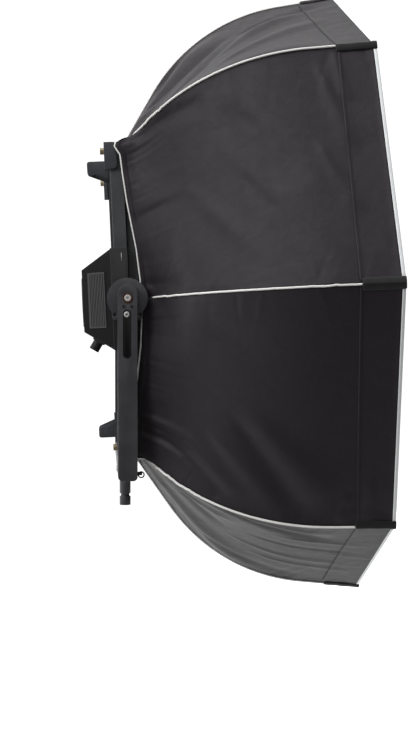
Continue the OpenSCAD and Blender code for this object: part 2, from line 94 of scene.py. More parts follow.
# The line of a seam in a plane through the optical axis, in metres and radians: where it leaves
# the frame (forward, out), its heading there, its heading at the rim and its bend radius.
END_LINE = (0.013, 0.394, math.radians(57.7), math.radians(8.0), 0.454)
CORNER_LINE = (0.029, 0.518, math.radians(51.0), math.radians(3.5), 0.500)
SIDE_LINE = (0.056, 0.384, math.radians(62.0), math.radians(8.0), 0.420)
SEAM_LINES = [
    CORNER_LINE if k % 2 else (END_LINE if k % 4 == 2 else SIDE_LINE) for k in range(RODS)
]
RIM_X, TIP_R, BAND = 0.560, 0.750, 0.082


# ---------- properties ----------


def colour_property(name, description, default):
    """A colour shown as a swatch, kept as sRGB so that it reads as its hex value."""
    value = [int(default[i : i + 2], 16) / 255 for i in (1, 3, 5)]
    return FloatVectorProperty(
        name=name, description=description, default=value,
        subtype="COLOR_GAMMA", size=3, min=0, max=1,
    )


def length_property(name, description, default, low, high):
    return FloatProperty(
        name=name, description=description, default=default, min=low, max=high,
        unit="LENGTH", subtype="DISTANCE", precision=4,
    )


def steps_property(name, description, default):
    return IntProperty(name=name, description=description, default=default, min=8, max=200)


def power_property(name, description, default):
    return FloatProperty(
        name=name, description=description, default=default, min=0, max=2000, unit="POWER",
    )


class SoftboxSizes(bpy.types.PropertyGroup):
    cloth_thickness: length_property(
        "Cloth thickness", "Thickness of the nylon", 0.0011, 0.0003, 0.003
    )
    pull_in: length_property("Pull-in", "How far each panel sags in between its rods", 0.010, 0, 0.04)
    fold_height: length_property("Fold height", "Height of a panel's soft folds", 0.0065, 0, 0.02)
    crease_height: length_property("Crease height", "Height of the creases along seams", 0.0014, 0, 0.01)
    piping_radius: length_property("Piping radius", "Radius of the seam piping", 0.0019, 0.001, 0.005)
    pocket_width: length_property("Pocket width", "Width of a rod tip's pocket", 0.027, 0.01, 0.05)
    diffuser_bulge: length_property(
        "Diffuser bulge", "How far the front cloth stands out in its middle", 0.006, 0, 0.03
    )
    steps_along: steps_property("Steps along", "Mesh steps along a panel", 132)
    steps_across: steps_property("Steps across", "Mesh steps across a panel", 96)


class SoftboxColours(bpy.types.PropertyGroup):
    shell: colour_property("Shell cloth", "Black coated nylon", "#1c161c")
    piping: colour_property("Piping", "Pale corded piping", "#fbfaf7")
    webbing: colour_property("Webbing", "Black webbing of pockets and straps", "#0f0f10")
    diffusion: colour_property("Diffusion cloth", "White translucent cloth", "#fcfcfb")
    lamp: colour_property("Lamp body", "Powder coat of the lamp", "#38393b")
    frame: colour_property("End frame", "Powder coat of the square frame", "#38393b")
    yoke: colour_property("Yoke", "Powder coat of the yoke", "#3b3b3e")
    bronze: colour_property("Bush bronze", "Pivot bush flange", "#8a4a32")
    brass: colour_property("Thumb screws", "Dull brass", "#a09379")


class StudioSettings(bpy.types.PropertyGroup):
    floor_z: length_property("Floor height", "Height of the floor under the spigot", -0.95, -3, 0)
    fill_power: power_property("Fill light", "Power of the light at the front", 58)
    top_power: power_property("Top light", "Power of the overhead light", 26)
    floor: colour_property("Floor", "Pale seamless paper", "#f4f4f3")


# ---------- shapes ----------


def seam_point(k, distance, out=0.0):
    """Points of seam k, distance along it from the frame and out proud of it, in head axes.

    The seam lies in a plane through the optical axis: a straight leg, a bend of constant
    radius and a straight leg to the rim, each tangent to the next."""
    x0, r0, a1, a2, bend = SEAM_LINES[k % RODS]
    d = np.asarray(distance, float)
    start = np.array([x0, r0])
    rim = np.array([RIM_X, TIP_R])
    h1 = np.array([math.cos(a1), math.sin(a1)])
    h2 = np.array([math.cos(a2), math.sin(a2)])
    turn = h1[0] * h2[1] - h1[1] * h2[0]
    v = rim - start
    tangent = bend * math.tan((a1 - a2) / 2)
    leg = (v[0] * h2[1] - v[1] * h2[0]) / turn - tangent
    arc = bend * (a1 - a2)
    angle = a1 - np.clip(d - leg, 0, arc) / bend
    centre = start + leg * h1 - bend * np.array([-h1[1], h1[0]])
    on_arc = centre + bend * np.stack([-np.sin(angle), np.cos(angle)], -1)
    before = np.minimum(d - leg, 0)[..., None] * h1
    after = np.maximum(d - leg - arc, 0)[..., None] * h2
    outward = np.stack([-np.sin(angle), np.cos(angle)], -1)
    flat = on_arc + before + after + np.asarray(out)[..., None] * outward
    turned = ROD_STEP * k
    x, radius = flat[..., 0], flat[..., 1]
    return np.stack([x, radius * math.cos(turned), radius * math.sin(turned)], -1)


def seam_length(k):
    """The seam's length from the frame to the rim: both legs and the arc between them."""
    x0, r0, a1, a2, bend = SEAM_LINES[k % RODS]
    vx, vr = RIM_X - x0, TIP_R - r0
    turn = math.sin(a2 - a1)
    tangent = bend * math.tan((a1 - a2) / 2)
    first = (vx * math.sin(a2) - vr * math.cos(a2)) / turn - tangent
    last = (math.cos(a1) * vr - math.sin(a1) * vx) / turn - tangent
    return first + bend * (a1 - a2) + last


def to_row(points):
    """Head axes to the row's axes: tilted nose up about the tilt axis and raised to it."""
    c, s = math.cos(REST_TILT), math.sin(REST_TILT)
    x, y, z = points[..., 0], points[..., 1], points[..., 2]
    return np.stack([x * c - z * s, y, x * s + z * c], -1) + PIVOT


def grid_normals(p):
    """Unit normals of a grid of points: the cross product of its two central differences."""
    n = np.cross(np.gradient(p, axis=1), np.gradient(p, axis=0))
    return n / np.maximum(np.linalg.norm(n, axis=-1, keepdims=True), 1e-12)


def smooth(t):
    """0 to 1 with level ends: 3t^2 - 2t^3 of t held between 0 and 1."""
    t = np.clip(t, 0, 1)
    return t * t * (3 - 2 * t)


def ridge(x, y, start, end, width):
    """A soft ridge along the line from start to end: a bell across the line, faded at its ends."""
    a, b = np.array(start), np.array(end)
    along = b - a
    length = np.linalg.norm(along)
    t = ((x - a[0]) * along[0] + (y - a[1]) * along[1]) / length**2
    off = ((x - a[0]) * along[1] - (y - a[1]) * along[0]) / length
    fade = smooth(t / 0.35 + 0.3) * smooth((1 - t) / 0.35 + 0.3)
    spread = width * (0.7 + 0.9 * np.clip(t, 0, 1))
    return fade * np.exp(-((off / spread) ** 2))


# Folds of each panel in shares across and along it: start, end, width, height share
FOLDS = {
    3: [((0.75, -0.02), (0.1, 0.5), 0.05, 2.6), ((0.5, 0.0), (0.02, 0.36), 0.05, -2.2),
        ((0.88, 0.05), (0.35, 0.62), 0.03, -1.2), ((0.55, 0.42), (0.15, 0.86), 0.035, 1.1),
        ((0.75, 0.45), (0.4, 0.9), 0.035, 0.9), ((0.3, 0.6), (0.1, 0.95), 0.025, -0.9),
        ((0.93, 0.2), (0.94, 0.8), 0.03, -1.4), ((0.6, 0.1), (0.25, 0.55), 0.02, -1.0)],
    4: [((0.08, -0.06), (1.0, 0.33), 0.075, 1.7), ((0.41, 0.77), (0.71, 0.895), 0.022, 0.75),
        ((0.08, 0.79), (0.44, 0.89), 0.022, 0.8), ((0.02, 0.85), (0.24, 0.89), 0.016, 0.5),
        ((0.33, 0.42), (0.97, 0.88), 0.045, 0.9), ((0.02, 0.52), (0.6, 0.82), 0.05, 0.7),
        ((0.16, 0.44), (0.56, 0.7), 0.045, -0.9), ((0.45, 0.24), (0.78, 0.5), 0.03, 0.4),
        ((0.56, 0.3), (0.9, 0.62), 0.035, 0.5), ((0.04, 0.1), (0.1, 0.36), 0.03, -1.0),
        ((0.5, 0.5), (0.95, 0.8), 0.03, -0.5), ((0.9, 0.03), (0.97, 0.25), 0.04, -0.5)],
    5: [((0.85, -0.06), (0.0, 0.33), 0.075, 1.7), ((0.62, 0.3), (0.93, 0.6), 0.045, 1.0),
        ((0.57, 0.42), (1.0, 0.7), 0.04, -1.1), ((0.53, 0.48), (0.9, 0.78), 0.05, 1.0),
        ((0.78, 0.12), (0.97, 0.4), 0.03, -0.8), ((0.68, 0.16), (0.94, 0.45), 0.03, 0.6),
        ((0.86, 0.84), (0.99, 0.8), 0.02, 0.5), ((0.8, 0.92), (0.99, 0.9), 0.02, 0.5),
        ((0.1, 0.3), (0.3, 0.55), 0.05, -0.3)],
    6: [((0.5, 0.0), (0.97, 0.58), 0.055, 1.5), ((0.3, 0.05), (0.5, 0.42), 0.035, -1.0),
        ((0.18, 0.1), (0.3, 0.45), 0.03, 0.8), ((0.06, 0.22), (0.26, 0.82), 0.03, -1.0),
        ((0.04, 0.4), (0.16, 0.8), 0.025, 0.6), ((0.8, 0.3), (0.92, 0.8), 0.03, -0.5),
        ((0.6, 0.45), (0.66, 0.92), 0.02, 0.35), ((0.42, 0.5), (0.46, 0.95), 0.016, -0.35),
        ((0.3, 0.6), (0.33, 0.97), 0.014, 0.3), ((0.72, 0.55), (0.76, 0.96), 0.016, 0.3)],
}


def panel_folds(k):
    """The folds of panel k: its own list, or the near side's panel seen in a mirror."""
    if k + 1 in FOLDS:
        return FOLDS[k + 1]
    twin = {0: 4, 7: 5, 1: 3, 6: 6}[k]
    return [((1 - a[0], a[1]), (1 - b[0], b[1]), w, h) for a, b, w, h in FOLDS[twin]]


# How many small creases start from each seam of a panel, and from its two ends together
SEAM_CREASES = 14
END_CREASES = 16


def fading_bell(off, width, away, reach):
    """One small crease: a bell of a width across it, dying away over its reach from an edge."""
    return np.exp(-((off / width) ** 2) - (away / reach) ** 2)


def cloth_offset(k, u, v, sizes):
    """How far the cloth of panel k stands out of the flat line between its two seams.

    A shallow pull-in (a half sine across times a half sine along), plus the panel's folds,
    plus small creases that start from both seams and both ends and die away from them."""
    middle = np.sin(math.pi * u)
    pull = -sizes.pull_in * middle * np.sin(math.pi * np.clip(v, 0, 1)) ** 0.8
    folds = sum(h * ridge(u, v, a, b, w) for a, b, w, h in panel_folds(k)) * sizes.fold_height
    rng = np.random.default_rng(100 + k)
    creases = np.zeros_like(u)
    for side in (u, 1 - u):
        for _ in range(SEAM_CREASES):
            at, lean = rng.uniform(0.02, 0.98), rng.uniform(-0.9, 0.9)
            reach, width = rng.uniform(0.06, 0.2), rng.uniform(0.008, 0.02)
            height = rng.uniform(-1, 1)
            off = v - at - lean * side * 0.5
            creases += height * fading_bell(off, width, side, reach) * smooth(side / 0.02)
    for _ in range(END_CREASES):
        at, lean = rng.uniform(0.03, 0.97), rng.uniform(-0.35, 0.35)
        reach, width = rng.uniform(0.08, 0.3), rng.uniform(0.008, 0.02)
        creases += rng.uniform(-1, 1) * fading_bell(u - at - lean * v, width, v, reach)
        off = u - at + lean * (1 - v)
        creases += rng.uniform(-0.8, 0.8) * fading_bell(off, width, 1 - v, reach * 0.7)
    held = smooth(u / 0.03) * smooth((1 - u) / 0.03) * smooth(v / 0.02) * smooth((1 - v) / 0.02)
    return pull + (folds + creases * sizes.crease_height) * held


def cloth_grid(k, across, along, sizes):
    """Points of the cloth between rods k and k + 1 at shares across and along it.

    Each row joins the two seams at the same share of their length with a straight line, and is
    then moved along the surface's normal by the cloth's offset."""
    if along.ndim == 1:
        u, v = np.meshgrid(across, along)
    else:
        u, v = np.broadcast_to(across, along.shape), along
    a = seam_point(k, v * seam_length(k))
    b = seam_point(k + 1, v * seam_length(k + 1))
    p = a * (1 - u[..., None]) + b * u[..., None]
    return p + grid_normals(p) * cloth_offset(k, u, v, sizes)[..., None]


# The rear hem of the side cloth in millimetres, by its height over the side seam: how far
# forward it lies, how far out to the side, and the heights of its corner and of its turn
HEM_FORWARD = [(34, 0), (33, 42), (27, 112), (11, 216), (4, 280), (0, 325), (-12, 345), (-9, 366)]
HEM_SIDE = [(387, 0), (387, 345), (383, 366)]
HEM_TOP = 0.366
HEM_TURN = 0.345


def hem_point(share, side, up):
    """The rear hem of the side cloth at a share of the way from the side seam to a corner.

    Forward and sideways distances are run through their marked heights; near the corner the
    hem turns in over the clamp, so its height stops short of the corner's."""
    z = share * HEM_TOP
    marks, sides = np.array(HEM_FORWARD) * MM, np.array(HEM_SIDE) * MM
    x = np.interp(z, marks[:, 1], marks[:, 0])
    y = np.interp(z, sides[:, 1], sides[:, 0])
    height = np.minimum(z, HEM_TURN + (z - HEM_TURN) * 0.45)
    return np.stack([x, side * y, up * height], -1)


# Mesh steps along the bend that carries a side panel back to its hem
BEND_STEPS = 41


def side_cloth(k, across, sizes):
    """Points of a side panel from its rear hem to its band.

    The panel starts a little way along the seams (its reach, longest mid-width), and a quadratic
    curve (1-t)^2 A + 2t(1-t) B + t^2 C carries it back to the hem in one soft bend."""
    side, up = (-1 if k in (3, 4) else 1), (1 if k in (0, 3) else -1)
    share = across if k in (0, 4) else 1 - across
    reach = (0.02 + 0.03 * share + 0.13 * np.sin(math.pi * share) ** 0.8) / mean_length(k)
    v = reach + (band_share(k) - reach) * np.linspace(0, 1, sizes.steps_along + 1)[:, None]
    flat = cloth_grid(k, across, v, sizes)
    edge = cloth_grid(k, across, np.array([0.0, 0.01]), sizes)[0]
    ahead = flat[1] - flat[0]
    ahead /= np.linalg.norm(ahead, axis=-1, keepdims=True)
    back = flat[0] - ahead * np.linalg.norm(flat[0] - edge, axis=-1, keepdims=True)
    corner = edge * 0.6 + back * 0.4
    t = np.linspace(0, 1, BEND_STEPS + 1)[:-1, None, None]
    bend = (1 - t) ** 2 * hem_point(share, side, up) + 2 * t * (1 - t) * corner + t * t * flat[0]
    u, w = np.meshgrid(across, t[:, 0, 0] * 0.2)
    pulled = sizes.pull_in * np.sin(math.pi * u) * np.sin(math.pi * w) ** 0.8
    wrinkle = cloth_offset(k, u, w, sizes) + pulled
    fade = smooth(t[..., 0] / 0.3) * smooth((1 - t[..., 0]) / 0.4)
    bend = bend + grid_normals(bend) * (wrinkle * fade * 0.7)[..., None]
    return np.concatenate([bend, flat])


def metres_uv(points):
    """A UV map in metres: the length walked along each row and along each column."""
    across = np.linalg.norm(np.diff(points, axis=1), axis=-1)
    along = np.linalg.norm(np.diff(points, axis=0), axis=-1)
    u = np.concatenate([np.zeros((len(points), 1)), np.cumsum(across, 1)], 1)
    u -= u[:, -1:] / 2
    mid = points.shape[1] // 2
    v = np.concatenate([[0], np.cumsum(along[:, mid])])
    return np.stack([u, np.broadcast_to(v[:, None], u.shape)], -1)


def sweep(path, outline, up):
    """A closed outline carried along a path: each ring lies across the path's direction.

    outline is (n, 2): distances along side and up, where side = direction x up."""
    ahead = np.gradient(path, axis=0)
    ahead /= np.linalg.norm(ahead, axis=1, keepdims=True)
    side = np.cross(ahead, up)
    side /= np.linalg.norm(side, axis=1, keepdims=True)
    top = np.cross(side, ahead)
    outline = np.broadcast_to(outline, (len(path),) + outline.shape[-2:])
    return path[:, None] + outline[..., :1] * side[:, None] + outline[..., 1:] * top[:, None]


def circle(radius, sides):
    """Points round a circle of that radius: (cos, sin) of equal steps of angle."""
    t = np.arange(sides) * 2 * math.pi / sides
    return radius * np.stack([np.cos(t), np.sin(t)], -1)


class Part:
    """A grid of points with its UVs, open or joined round, and closed over at its ends or not."""

    def __init__(self, points, uv=None, round_u=False, caps=False, flip=False):
        self.points, self.round_u, self.caps, self.flip = points, round_u, caps, flip
        if uv is None:
            uv = metres_uv(np.concatenate([points, points[:, :1]], 1) if round_u else points)
        self.uv = uv


def grid_quads(rows, cols, round_u=False):
    """Corner numbers of the faces between a grid's points, with its sides joined or not."""
    i, j = np.meshgrid(np.arange(rows - 1), np.arange(cols if round_u else cols - 1), indexing="ij")
    after = (j + 1) % cols
    low, high = i * cols, (i + 1) * cols
    return np.stack([low + j, low + after, high + after, high + j], -1).reshape(-1, 4)


def make_piece(name, parts, material, body):
    """Puts grids of points into one mesh in the row's axes, with a UV map in metres."""
    verts, corners, sizes, uvs = [], [], [], []
    base = 0
    for part in parts:
        rows, cols = part.points.shape[:2]
        quads = grid_quads(rows, cols, part.round_u)
        uv_quads = grid_quads(rows, part.uv.shape[1])
        if part.flip:
            quads, uv_quads = quads[:, ::-1], uv_quads[:, ::-1]
        corners.append(quads.ravel() + base)
        sizes.append(np.full(len(quads), 4))
        uvs.append(part.uv.reshape(-1, 2)[uv_quads.ravel()])
        if part.caps:
            for row, order in ((0, -1), (rows - 1, 1)):
                ring = (row * cols + np.arange(cols))[::order]
                if part.flip:
                    ring = ring[::-1]
                corners.append(ring + base)
                sizes.append(np.array([cols]))
                uvs.append(np.zeros((cols, 2)))
        verts.append(part.points.reshape(-1, 3))
        base += rows * cols
    verts, corners, sizes, uvs = (np.concatenate(x) for x in (verts, corners, sizes, uvs))
    mesh = bpy.data.meshes.new(name)
    mesh.vertices.add(len(verts))
    mesh.vertices.foreach_set("co", to_row(verts).ravel() if body == "head" else verts.ravel())
    mesh.loops.add(len(corners))
    mesh.loops.foreach_set("vertex_index", corners.astype(np.int32))
    mesh.polygons.add(len(sizes))
    starts = np.concatenate([[0], np.cumsum(sizes)[:-1]])
    mesh.polygons.foreach_set("loop_start", starts.astype(np.int32))
    mesh.polygons.foreach_set("loop_total", sizes.astype(np.int32))
    mesh.update(calc_edges=True)
    mesh.validate()
    layer = mesh.uv_layers.new(name="metres")
    layer.data.foreach_set("uv", uvs.astype(np.float32).ravel())
    mesh.polygons.foreach_set("use_smooth", np.ones(len(mesh.polygons), bool))
    mesh.materials.append(material)
    obj = bpy.data.objects.new(name, mesh)
    bpy.context.scene.collection.objects.link(obj)
    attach(obj, body)
    return obj


def thicken(obj, thickness, offset=-1):
    """Gives a sheet its thickness, measured in from its outer face."""
    wall = obj.modifiers.new("thickness", "SOLIDIFY")
    wall.thickness, wall.offset, wall.use_even_offset = thickness, offset, False


# ---------- materials ----------


def linear(colour):
    """An sRGB colour, as hex text or three shares, turned to linear light with alpha 1."""
    if isinstance(colour, str):
        colour = [int(colour[i : i + 2], 16) / 255 for i in (1, 3, 5)]
    return [c / 12.92 if c <= 0.04045 else ((c + 0.055) / 1.055) ** 2.4 for c in colour] + [1.0]


def new_material(name):
    material = bpy.data.materials.new(name)
    material.use_nodes = True
    tree = material.node_tree
    shader = tree.nodes["Principled BSDF"]
    return material, tree, shader


def add(tree, kind, inputs=None, **settings):
    """Adds a node: settings are its attributes, inputs are values or sockets to link."""
    made = tree.nodes.new(kind)
    for key, value in settings.items():
        setattr(made, key, value)
    for key, value in (inputs or {}).items():
        if isinstance(value, bpy.types.NodeSocket):
            tree.links.new(value, made.inputs[key])
        else:
            made.inputs[key].default_value = value
    return made


def set_inputs(tree, shader, **inputs):
    for key, value in inputs.items():
        socket = shader.inputs[key.replace("_", " ")]
        if isinstance(value, bpy.types.NodeSocket):
            tree.links.new(value, socket)
        else:
            socket.default_value = value


def wave_scale(period_mm):
    """The Scale at which a wave texture repeats about every period_mm."""
    return 1 / (math.pi * period_mm * MM)


def noise_scale(grain_mm):
    """The Scale at which a noise texture has a dark and a light patch every two grains."""
    return 1 / (grain_mm * MM) / 2


def coated_nylon(name, colour):
    """Coated woven nylon: a plain weave under a thin coat, so it is matt but brightens and shows
    every crinkle where light rakes across it. Threads of 0.4 mm are drawn 1.6 mm apart to show."""
    material, tree, shader = new_material(name)
    uv = add(tree, "ShaderNodeUVMap", uv_map="metres").outputs["UV"]
    warp, weft = (
        add(tree, "ShaderNodeTexWave",
            {"Vector": uv, "Scale": wave_scale(1.6), "Distortion": 0.4, "Detail": 1.0},
            bands_direction=way)
        for way in "XY"
    )
    weave = add(tree, "ShaderNodeMath", {0: warp.outputs["Fac"], 1: weft.outputs["Fac"]},
                operation="MULTIPLY")
    fine = add(tree, "ShaderNodeTexNoise",
               {"Vector": uv, "Scale": 38.0, "Detail": 5.0, "Roughness": 0.55, "Distortion": 0.6})
    broad = add(tree, "ShaderNodeTexNoise",
                {"Vector": uv, "Scale": 7.0, "Detail": 3.0, "Roughness": 0.5})
    shade = add(tree, "ShaderNodeMapRange", {"Value": broad.outputs["Fac"], "From Min": 0.3,
                                             "From Max": 0.7, "To Min": 0.86, "To Max": 1.14})
    tint = add(tree, "ShaderNodeMix", {0: 1.0, 6: linear(colour), 7: shade.outputs["Result"]},
               data_type="RGBA", blend_type="MULTIPLY")
    rough = add(tree, "ShaderNodeMapRange",
                {"Value": fine.outputs["Fac"], "To Min": 0.52, "To Max": 0.72})
    crumple = add(tree, "ShaderNodeBump",
                  {"Height": fine.outputs["Fac"], "Distance": 0.002, "Strength": 0.5})
    threads = add(tree, "ShaderNodeBump", {"Height": weave.outputs["Value"], "Distance": 0.00012,
                                           "Strength": 0.5, "Normal": crumple.outputs["Normal"]})
    set_inputs(tree, shader, Base_Color=tint.outputs[2], Roughness=rough.outputs["Result"],
               Normal=threads.outputs["Normal"], Sheen_Weight=0.10, Sheen_Roughness=0.45,
               IOR=1.5, Specular_IOR_Level=0.38)
    return material


def corded_piping(name, colour):
    """Cotton piping: bias tape wrapped round a cord, matt, with fine diagonal ribs 1.5 mm apart."""
    material, tree, shader = new_material(name)
    uv = add(tree, "ShaderNodeUVMap", uv_map="metres").outputs["UV"]
    ribs = add(tree, "ShaderNodeTexWave",
               {"Vector": uv, "Scale": 210.0, "Distortion": 1.0, "Detail": 2.0},
               bands_direction="DIAGONAL")
    dirt = add(tree, "ShaderNodeTexNoise", {"Vector": uv, "Scale": 30.0, "Detail": 4.0})
    mix = add(tree, "ShaderNodeMix", {"Factor": dirt.outputs["Fac"]}, data_type="RGBA")
    base = linear(colour)
    mix.inputs[6].default_value = [c * 0.86 for c in base[:3]] + [1]
    mix.inputs[7].default_value = base
    bump = add(tree, "ShaderNodeBump", {"Height": ribs.outputs["Fac"], "Distance": 0.0003, "Strength": 0.6})
    set_inputs(tree, shader, Base_Color=mix.outputs[2], Roughness=0.8,
               Normal=bump.outputs["Normal"], Sheen_Weight=0.2)
    return material


def woven_webbing(name, colour):
    """Polyester webbing: close ribs 1.4 mm apart across its width, matt with a faint glint."""
    material, tree, shader = new_material(name)
    uv = add(tree, "ShaderNodeUVMap", uv_map="metres").outputs["UV"]
    ribs = add(tree, "ShaderNodeTexWave",
               {"Vector": uv, "Scale": 225.0, "Distortion": 0.6, "Detail": 1.0},
               bands_direction="Y")
    fine = add(tree, "ShaderNodeTexNoise", {"Vector": uv, "Scale": 900.0, "Detail": 2.0})
    height = add(tree, "ShaderNodeMath", {0: ribs.outputs["Fac"], 1: fine.outputs["Fac"]},
                 operation="ADD")
    bump = add(tree, "ShaderNodeBump",
               {"Height": height.outputs["Value"], "Distance": 0.0003, "Strength": 0.7})
    rough = add(tree, "ShaderNodeMapRange",
                {"Value": fine.outputs["Fac"], "To Min": 0.6, "To Max": 0.85})
    set_inputs(tree, shader, Base_Color=linear(colour), Roughness=rough.outputs["Result"],
               Normal=bump.outputs["Normal"], Sheen_Weight=0.15, Specular_IOR_Level=0.35)
    return material


def diffusion_cloth(name, colour):
    """White diffusion silk: a thin matt plain weave, drawn 1.2 mm apart so that it shows, with a
    little light let into it."""
    material, tree, shader = new_material(name)
    uv = add(tree, "ShaderNodeUVMap", uv_map="metres").outputs["UV"]
    warp, weft = (
        add(tree, "ShaderNodeTexWave", {"Vector": uv, "Scale": 260.0, "Distortion": 0.5},
            bands_direction=way)
        for way in "XY"
    )
    weave = add(tree, "ShaderNodeMath", {0: warp.outputs["Fac"], 1: weft.outputs["Fac"]},
                operation="ADD")
    crinkle = add(tree, "ShaderNodeTexNoise", {"Vector": uv, "Scale": 9.0, "Detail": 4.0})
    billow = add(tree, "ShaderNodeBump",
                 {"Height": crinkle.outputs["Fac"], "Distance": 0.004, "Strength": 0.25})
    bump = add(tree, "ShaderNodeBump", {"Height": weave.outputs["Value"], "Distance": 0.00015,
                                        "Strength": 0.4, "Normal": billow.outputs["Normal"]})
    set_inputs(tree, shader, Base_Color=linear(colour), Roughness=0.85,
               Normal=bump.outputs["Normal"], Sheen_Weight=0.1, Subsurface_Weight=0.1)
    return material


def powder_coat(name, colour, grain_mm=0.9, roughness=0.46, shine=0.5):
    """Satin powder coat on aluminium: an even dark film with a fine orange peel, a little
    duller and greyer in patches where hands have rubbed it."""
    material, tree, shader = new_material(name)
    place = add(tree, "ShaderNodeTexCoord").outputs["Object"]
    peel = add(tree, "ShaderNodeTexNoise",
               {"Vector": place, "Scale": noise_scale(grain_mm), "Detail": 2.0})
    rub = add(tree, "ShaderNodeTexNoise",
              {"Vector": place, "Scale": 14.0, "Detail": 6.0, "Roughness": 0.65})
    rough = add(tree, "ShaderNodeMapRange",
                {"Value": rub.outputs["Fac"], "From Min": 0.3, "From Max": 0.7,
                 "To Min": roughness - 0.07, "To Max": roughness + 0.1})
    worn = add(tree, "ShaderNodeMapRange",
               {"Value": rub.outputs["Fac"], "From Min": 0.45, "From Max": 0.75})
    mix = add(tree, "ShaderNodeMix", {"Factor": worn.outputs["Result"]}, data_type="RGBA")
    base = linear(colour)
    mix.inputs[6].default_value = base
    mix.inputs[7].default_value = [c * 1.35 + 0.004 for c in base[:3]] + [1]
    bump = add(tree, "ShaderNodeBump",
               {"Height": peel.outputs["Fac"], "Distance": 0.0001, "Strength": 0.5})
    set_inputs(tree, shader, Base_Color=mix.outputs[2], Roughness=rough.outputs["Result"],
               Normal=bump.outputs["Normal"], IOR=1.5, Specular_IOR_Level=shine)
    return material


def turned_metal(name, colour, roughness, streak_mm=0.7, metallic=1.0):
    """Plain turned or drawn metal: a dull sheen broken by fine uneven streaks and stains."""
    material, tree, shader = new_material(name)
    place = add(tree, "ShaderNodeTexCoord").outputs["Object"]
    streaks = add(tree, "ShaderNodeTexNoise",
                  {"Vector": place, "Scale": noise_scale(streak_mm), "Detail": 3.0})
    stain = add(tree, "ShaderNodeTexNoise", {"Vector": place, "Scale": 60.0, "Detail": 5.0})
    rough = add(tree, "ShaderNodeMapRange",
                {"Value": stain.outputs["Fac"], "To Min": roughness - 0.1, "To Max": roughness + 0.15})
    mix = add(tree, "ShaderNodeMix", {"Factor": stain.outputs["Fac"]}, data_type="RGBA")
    base = linear(colour)
    mix.inputs[6].default_value = [c * 0.7 for c in base[:3]] + [1]
    mix.inputs[7].default_value = base
    bump = add(tree, "ShaderNodeBump",
               {"Height": streaks.outputs["Fac"], "Distance": 0.00008, "Strength": 0.4})
    set_inputs(tree, shader, Base_Color=mix.outputs[2], Metallic=metallic,
               Roughness=rough.outputs["Result"], Normal=bump.outputs["Normal"])
    return material


def moulded_plastic(name, colour, roughness=0.5, ior=1.5, spark_mm=0.8, bump_mm=0.05):
    """Moulded plastic: one colour through, with the fine spark-eroded texture of its mould."""
    material, tree, shader = new_material(name)
    place = add(tree, "ShaderNodeTexCoord").outputs["Object"]
    spark = add(tree, "ShaderNodeTexNoise",
                {"Vector": place, "Scale": noise_scale(spark_mm), "Detail": 2.0})
    haze = add(tree, "ShaderNodeTexNoise", {"Vector": place, "Scale": 40.0, "Detail": 3.0})
    rough = add(tree, "ShaderNodeMapRange",
                {"Value": haze.outputs["Fac"], "To Min": roughness - 0.06, "To Max": roughness + 0.08})
    bump = add(tree, "ShaderNodeBump",
               {"Height": spark.outputs["Fac"], "Distance": bump_mm * MM, "Strength": 0.5})
    set_inputs(tree, shader, Base_Color=linear(colour), Roughness=rough.outputs["Result"],
               Normal=bump.outputs["Normal"], IOR=ior)
    return material


MADE = {}


def material_once(name, make, *args, **words):
    if name not in MADE:
        MADE[name] = make(name, *args, **words)
    return MADE[name]


# The soft materials: name, recipe and the colour property that each one takes
SOFT = {
    "shell": ("coated_nylon_black", coated_nylon),
    "piping": ("corded_piping_pale", corded_piping),
    "webbing": ("woven_webbing_black", woven_webbing),
    "diffusion": ("diffusion_silk_white", diffusion_cloth),
}


def soft(kind):
    return material_once(*SOFT[kind], getattr(bpy.context.scene.softbox_colours, kind))


# ---------- cloth pieces ----------


SIDE_PANELS = (0, 3, 4, 7)


def mean_length(k):
    """The mean length of panel k's two seams."""
    return 0.5 * (seam_length(k) + seam_length(k + 1))


def band_share(k):
    """Where the band starts on panel k, as a share of its seams' mean length."""
    return 1 - BAND / mean_length(k)


class SOFTBOX_OT_shell_panels(bpy.types.Operator):
    """Make the eight cloth panels between the rods"""

    bl_idname = "softbox.shell_panels"
    bl_label = "Shell panels"

    def execute(self, context):
        sizes = context.scene.softbox_sizes
        across = np.linspace(0, 1, sizes.steps_across + 1)
        for k in range(RODS):
            if k in SIDE_PANELS:
                grid = side_cloth(k, across, sizes)
            else:
                grid = cloth_grid(k, across, np.linspace(0, band_share(k), sizes.steps_along + 1), sizes)
            obj = make_piece(f"cloth_panel_{k + 1}", [Part(grid)], soft("shell"), "head")
            thicken(obj, sizes.cloth_thickness)
            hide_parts(f"shell_panel_{k + 1}")
            long = metres_uv(grid)[-1, 0, 1]
        return {"FINISHED"}


class SOFTBOX_OT_front_band(bpy.types.Operator):
    """Make the plain band sewn on in front of the panels, with its seam fold"""

    bl_idname = "softbox.front_band"
    bl_label = "Front band"

    def execute(self, context):
        sizes = context.scene.softbox_sizes
        across = np.linspace(0, 1, 49)
        parts = []
        for k in range(RODS):
            share = band_share(k)
            along = np.linspace(share - 0.004, 1, 25)
            grid = cloth_grid(k, across, along, sizes)
            # A welt of 2.2 mm at the seam and a hem of 1.2 mm at the rim, both bells
            t = np.linspace(0, 1, 25)[:, None]
            welt = 0.0022 * np.exp(-((t - 0.03) / 0.035) ** 2) + 0.0004
            u = across[None, :]
            hem = 0.0012 * np.exp(-((t - 0.97) / 0.05) ** 2)
            lift = (welt + hem) * smooth(u / 0.03) * smooth((1 - u) / 0.03)
            parts.append(Part(grid + grid_normals(grid) * lift[..., None]))
        obj = make_piece("cloth_band", parts, soft("shell"), "head")
        thicken(obj, sizes.cloth_thickness)
        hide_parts("front_band")
        return {"FINISHED"}


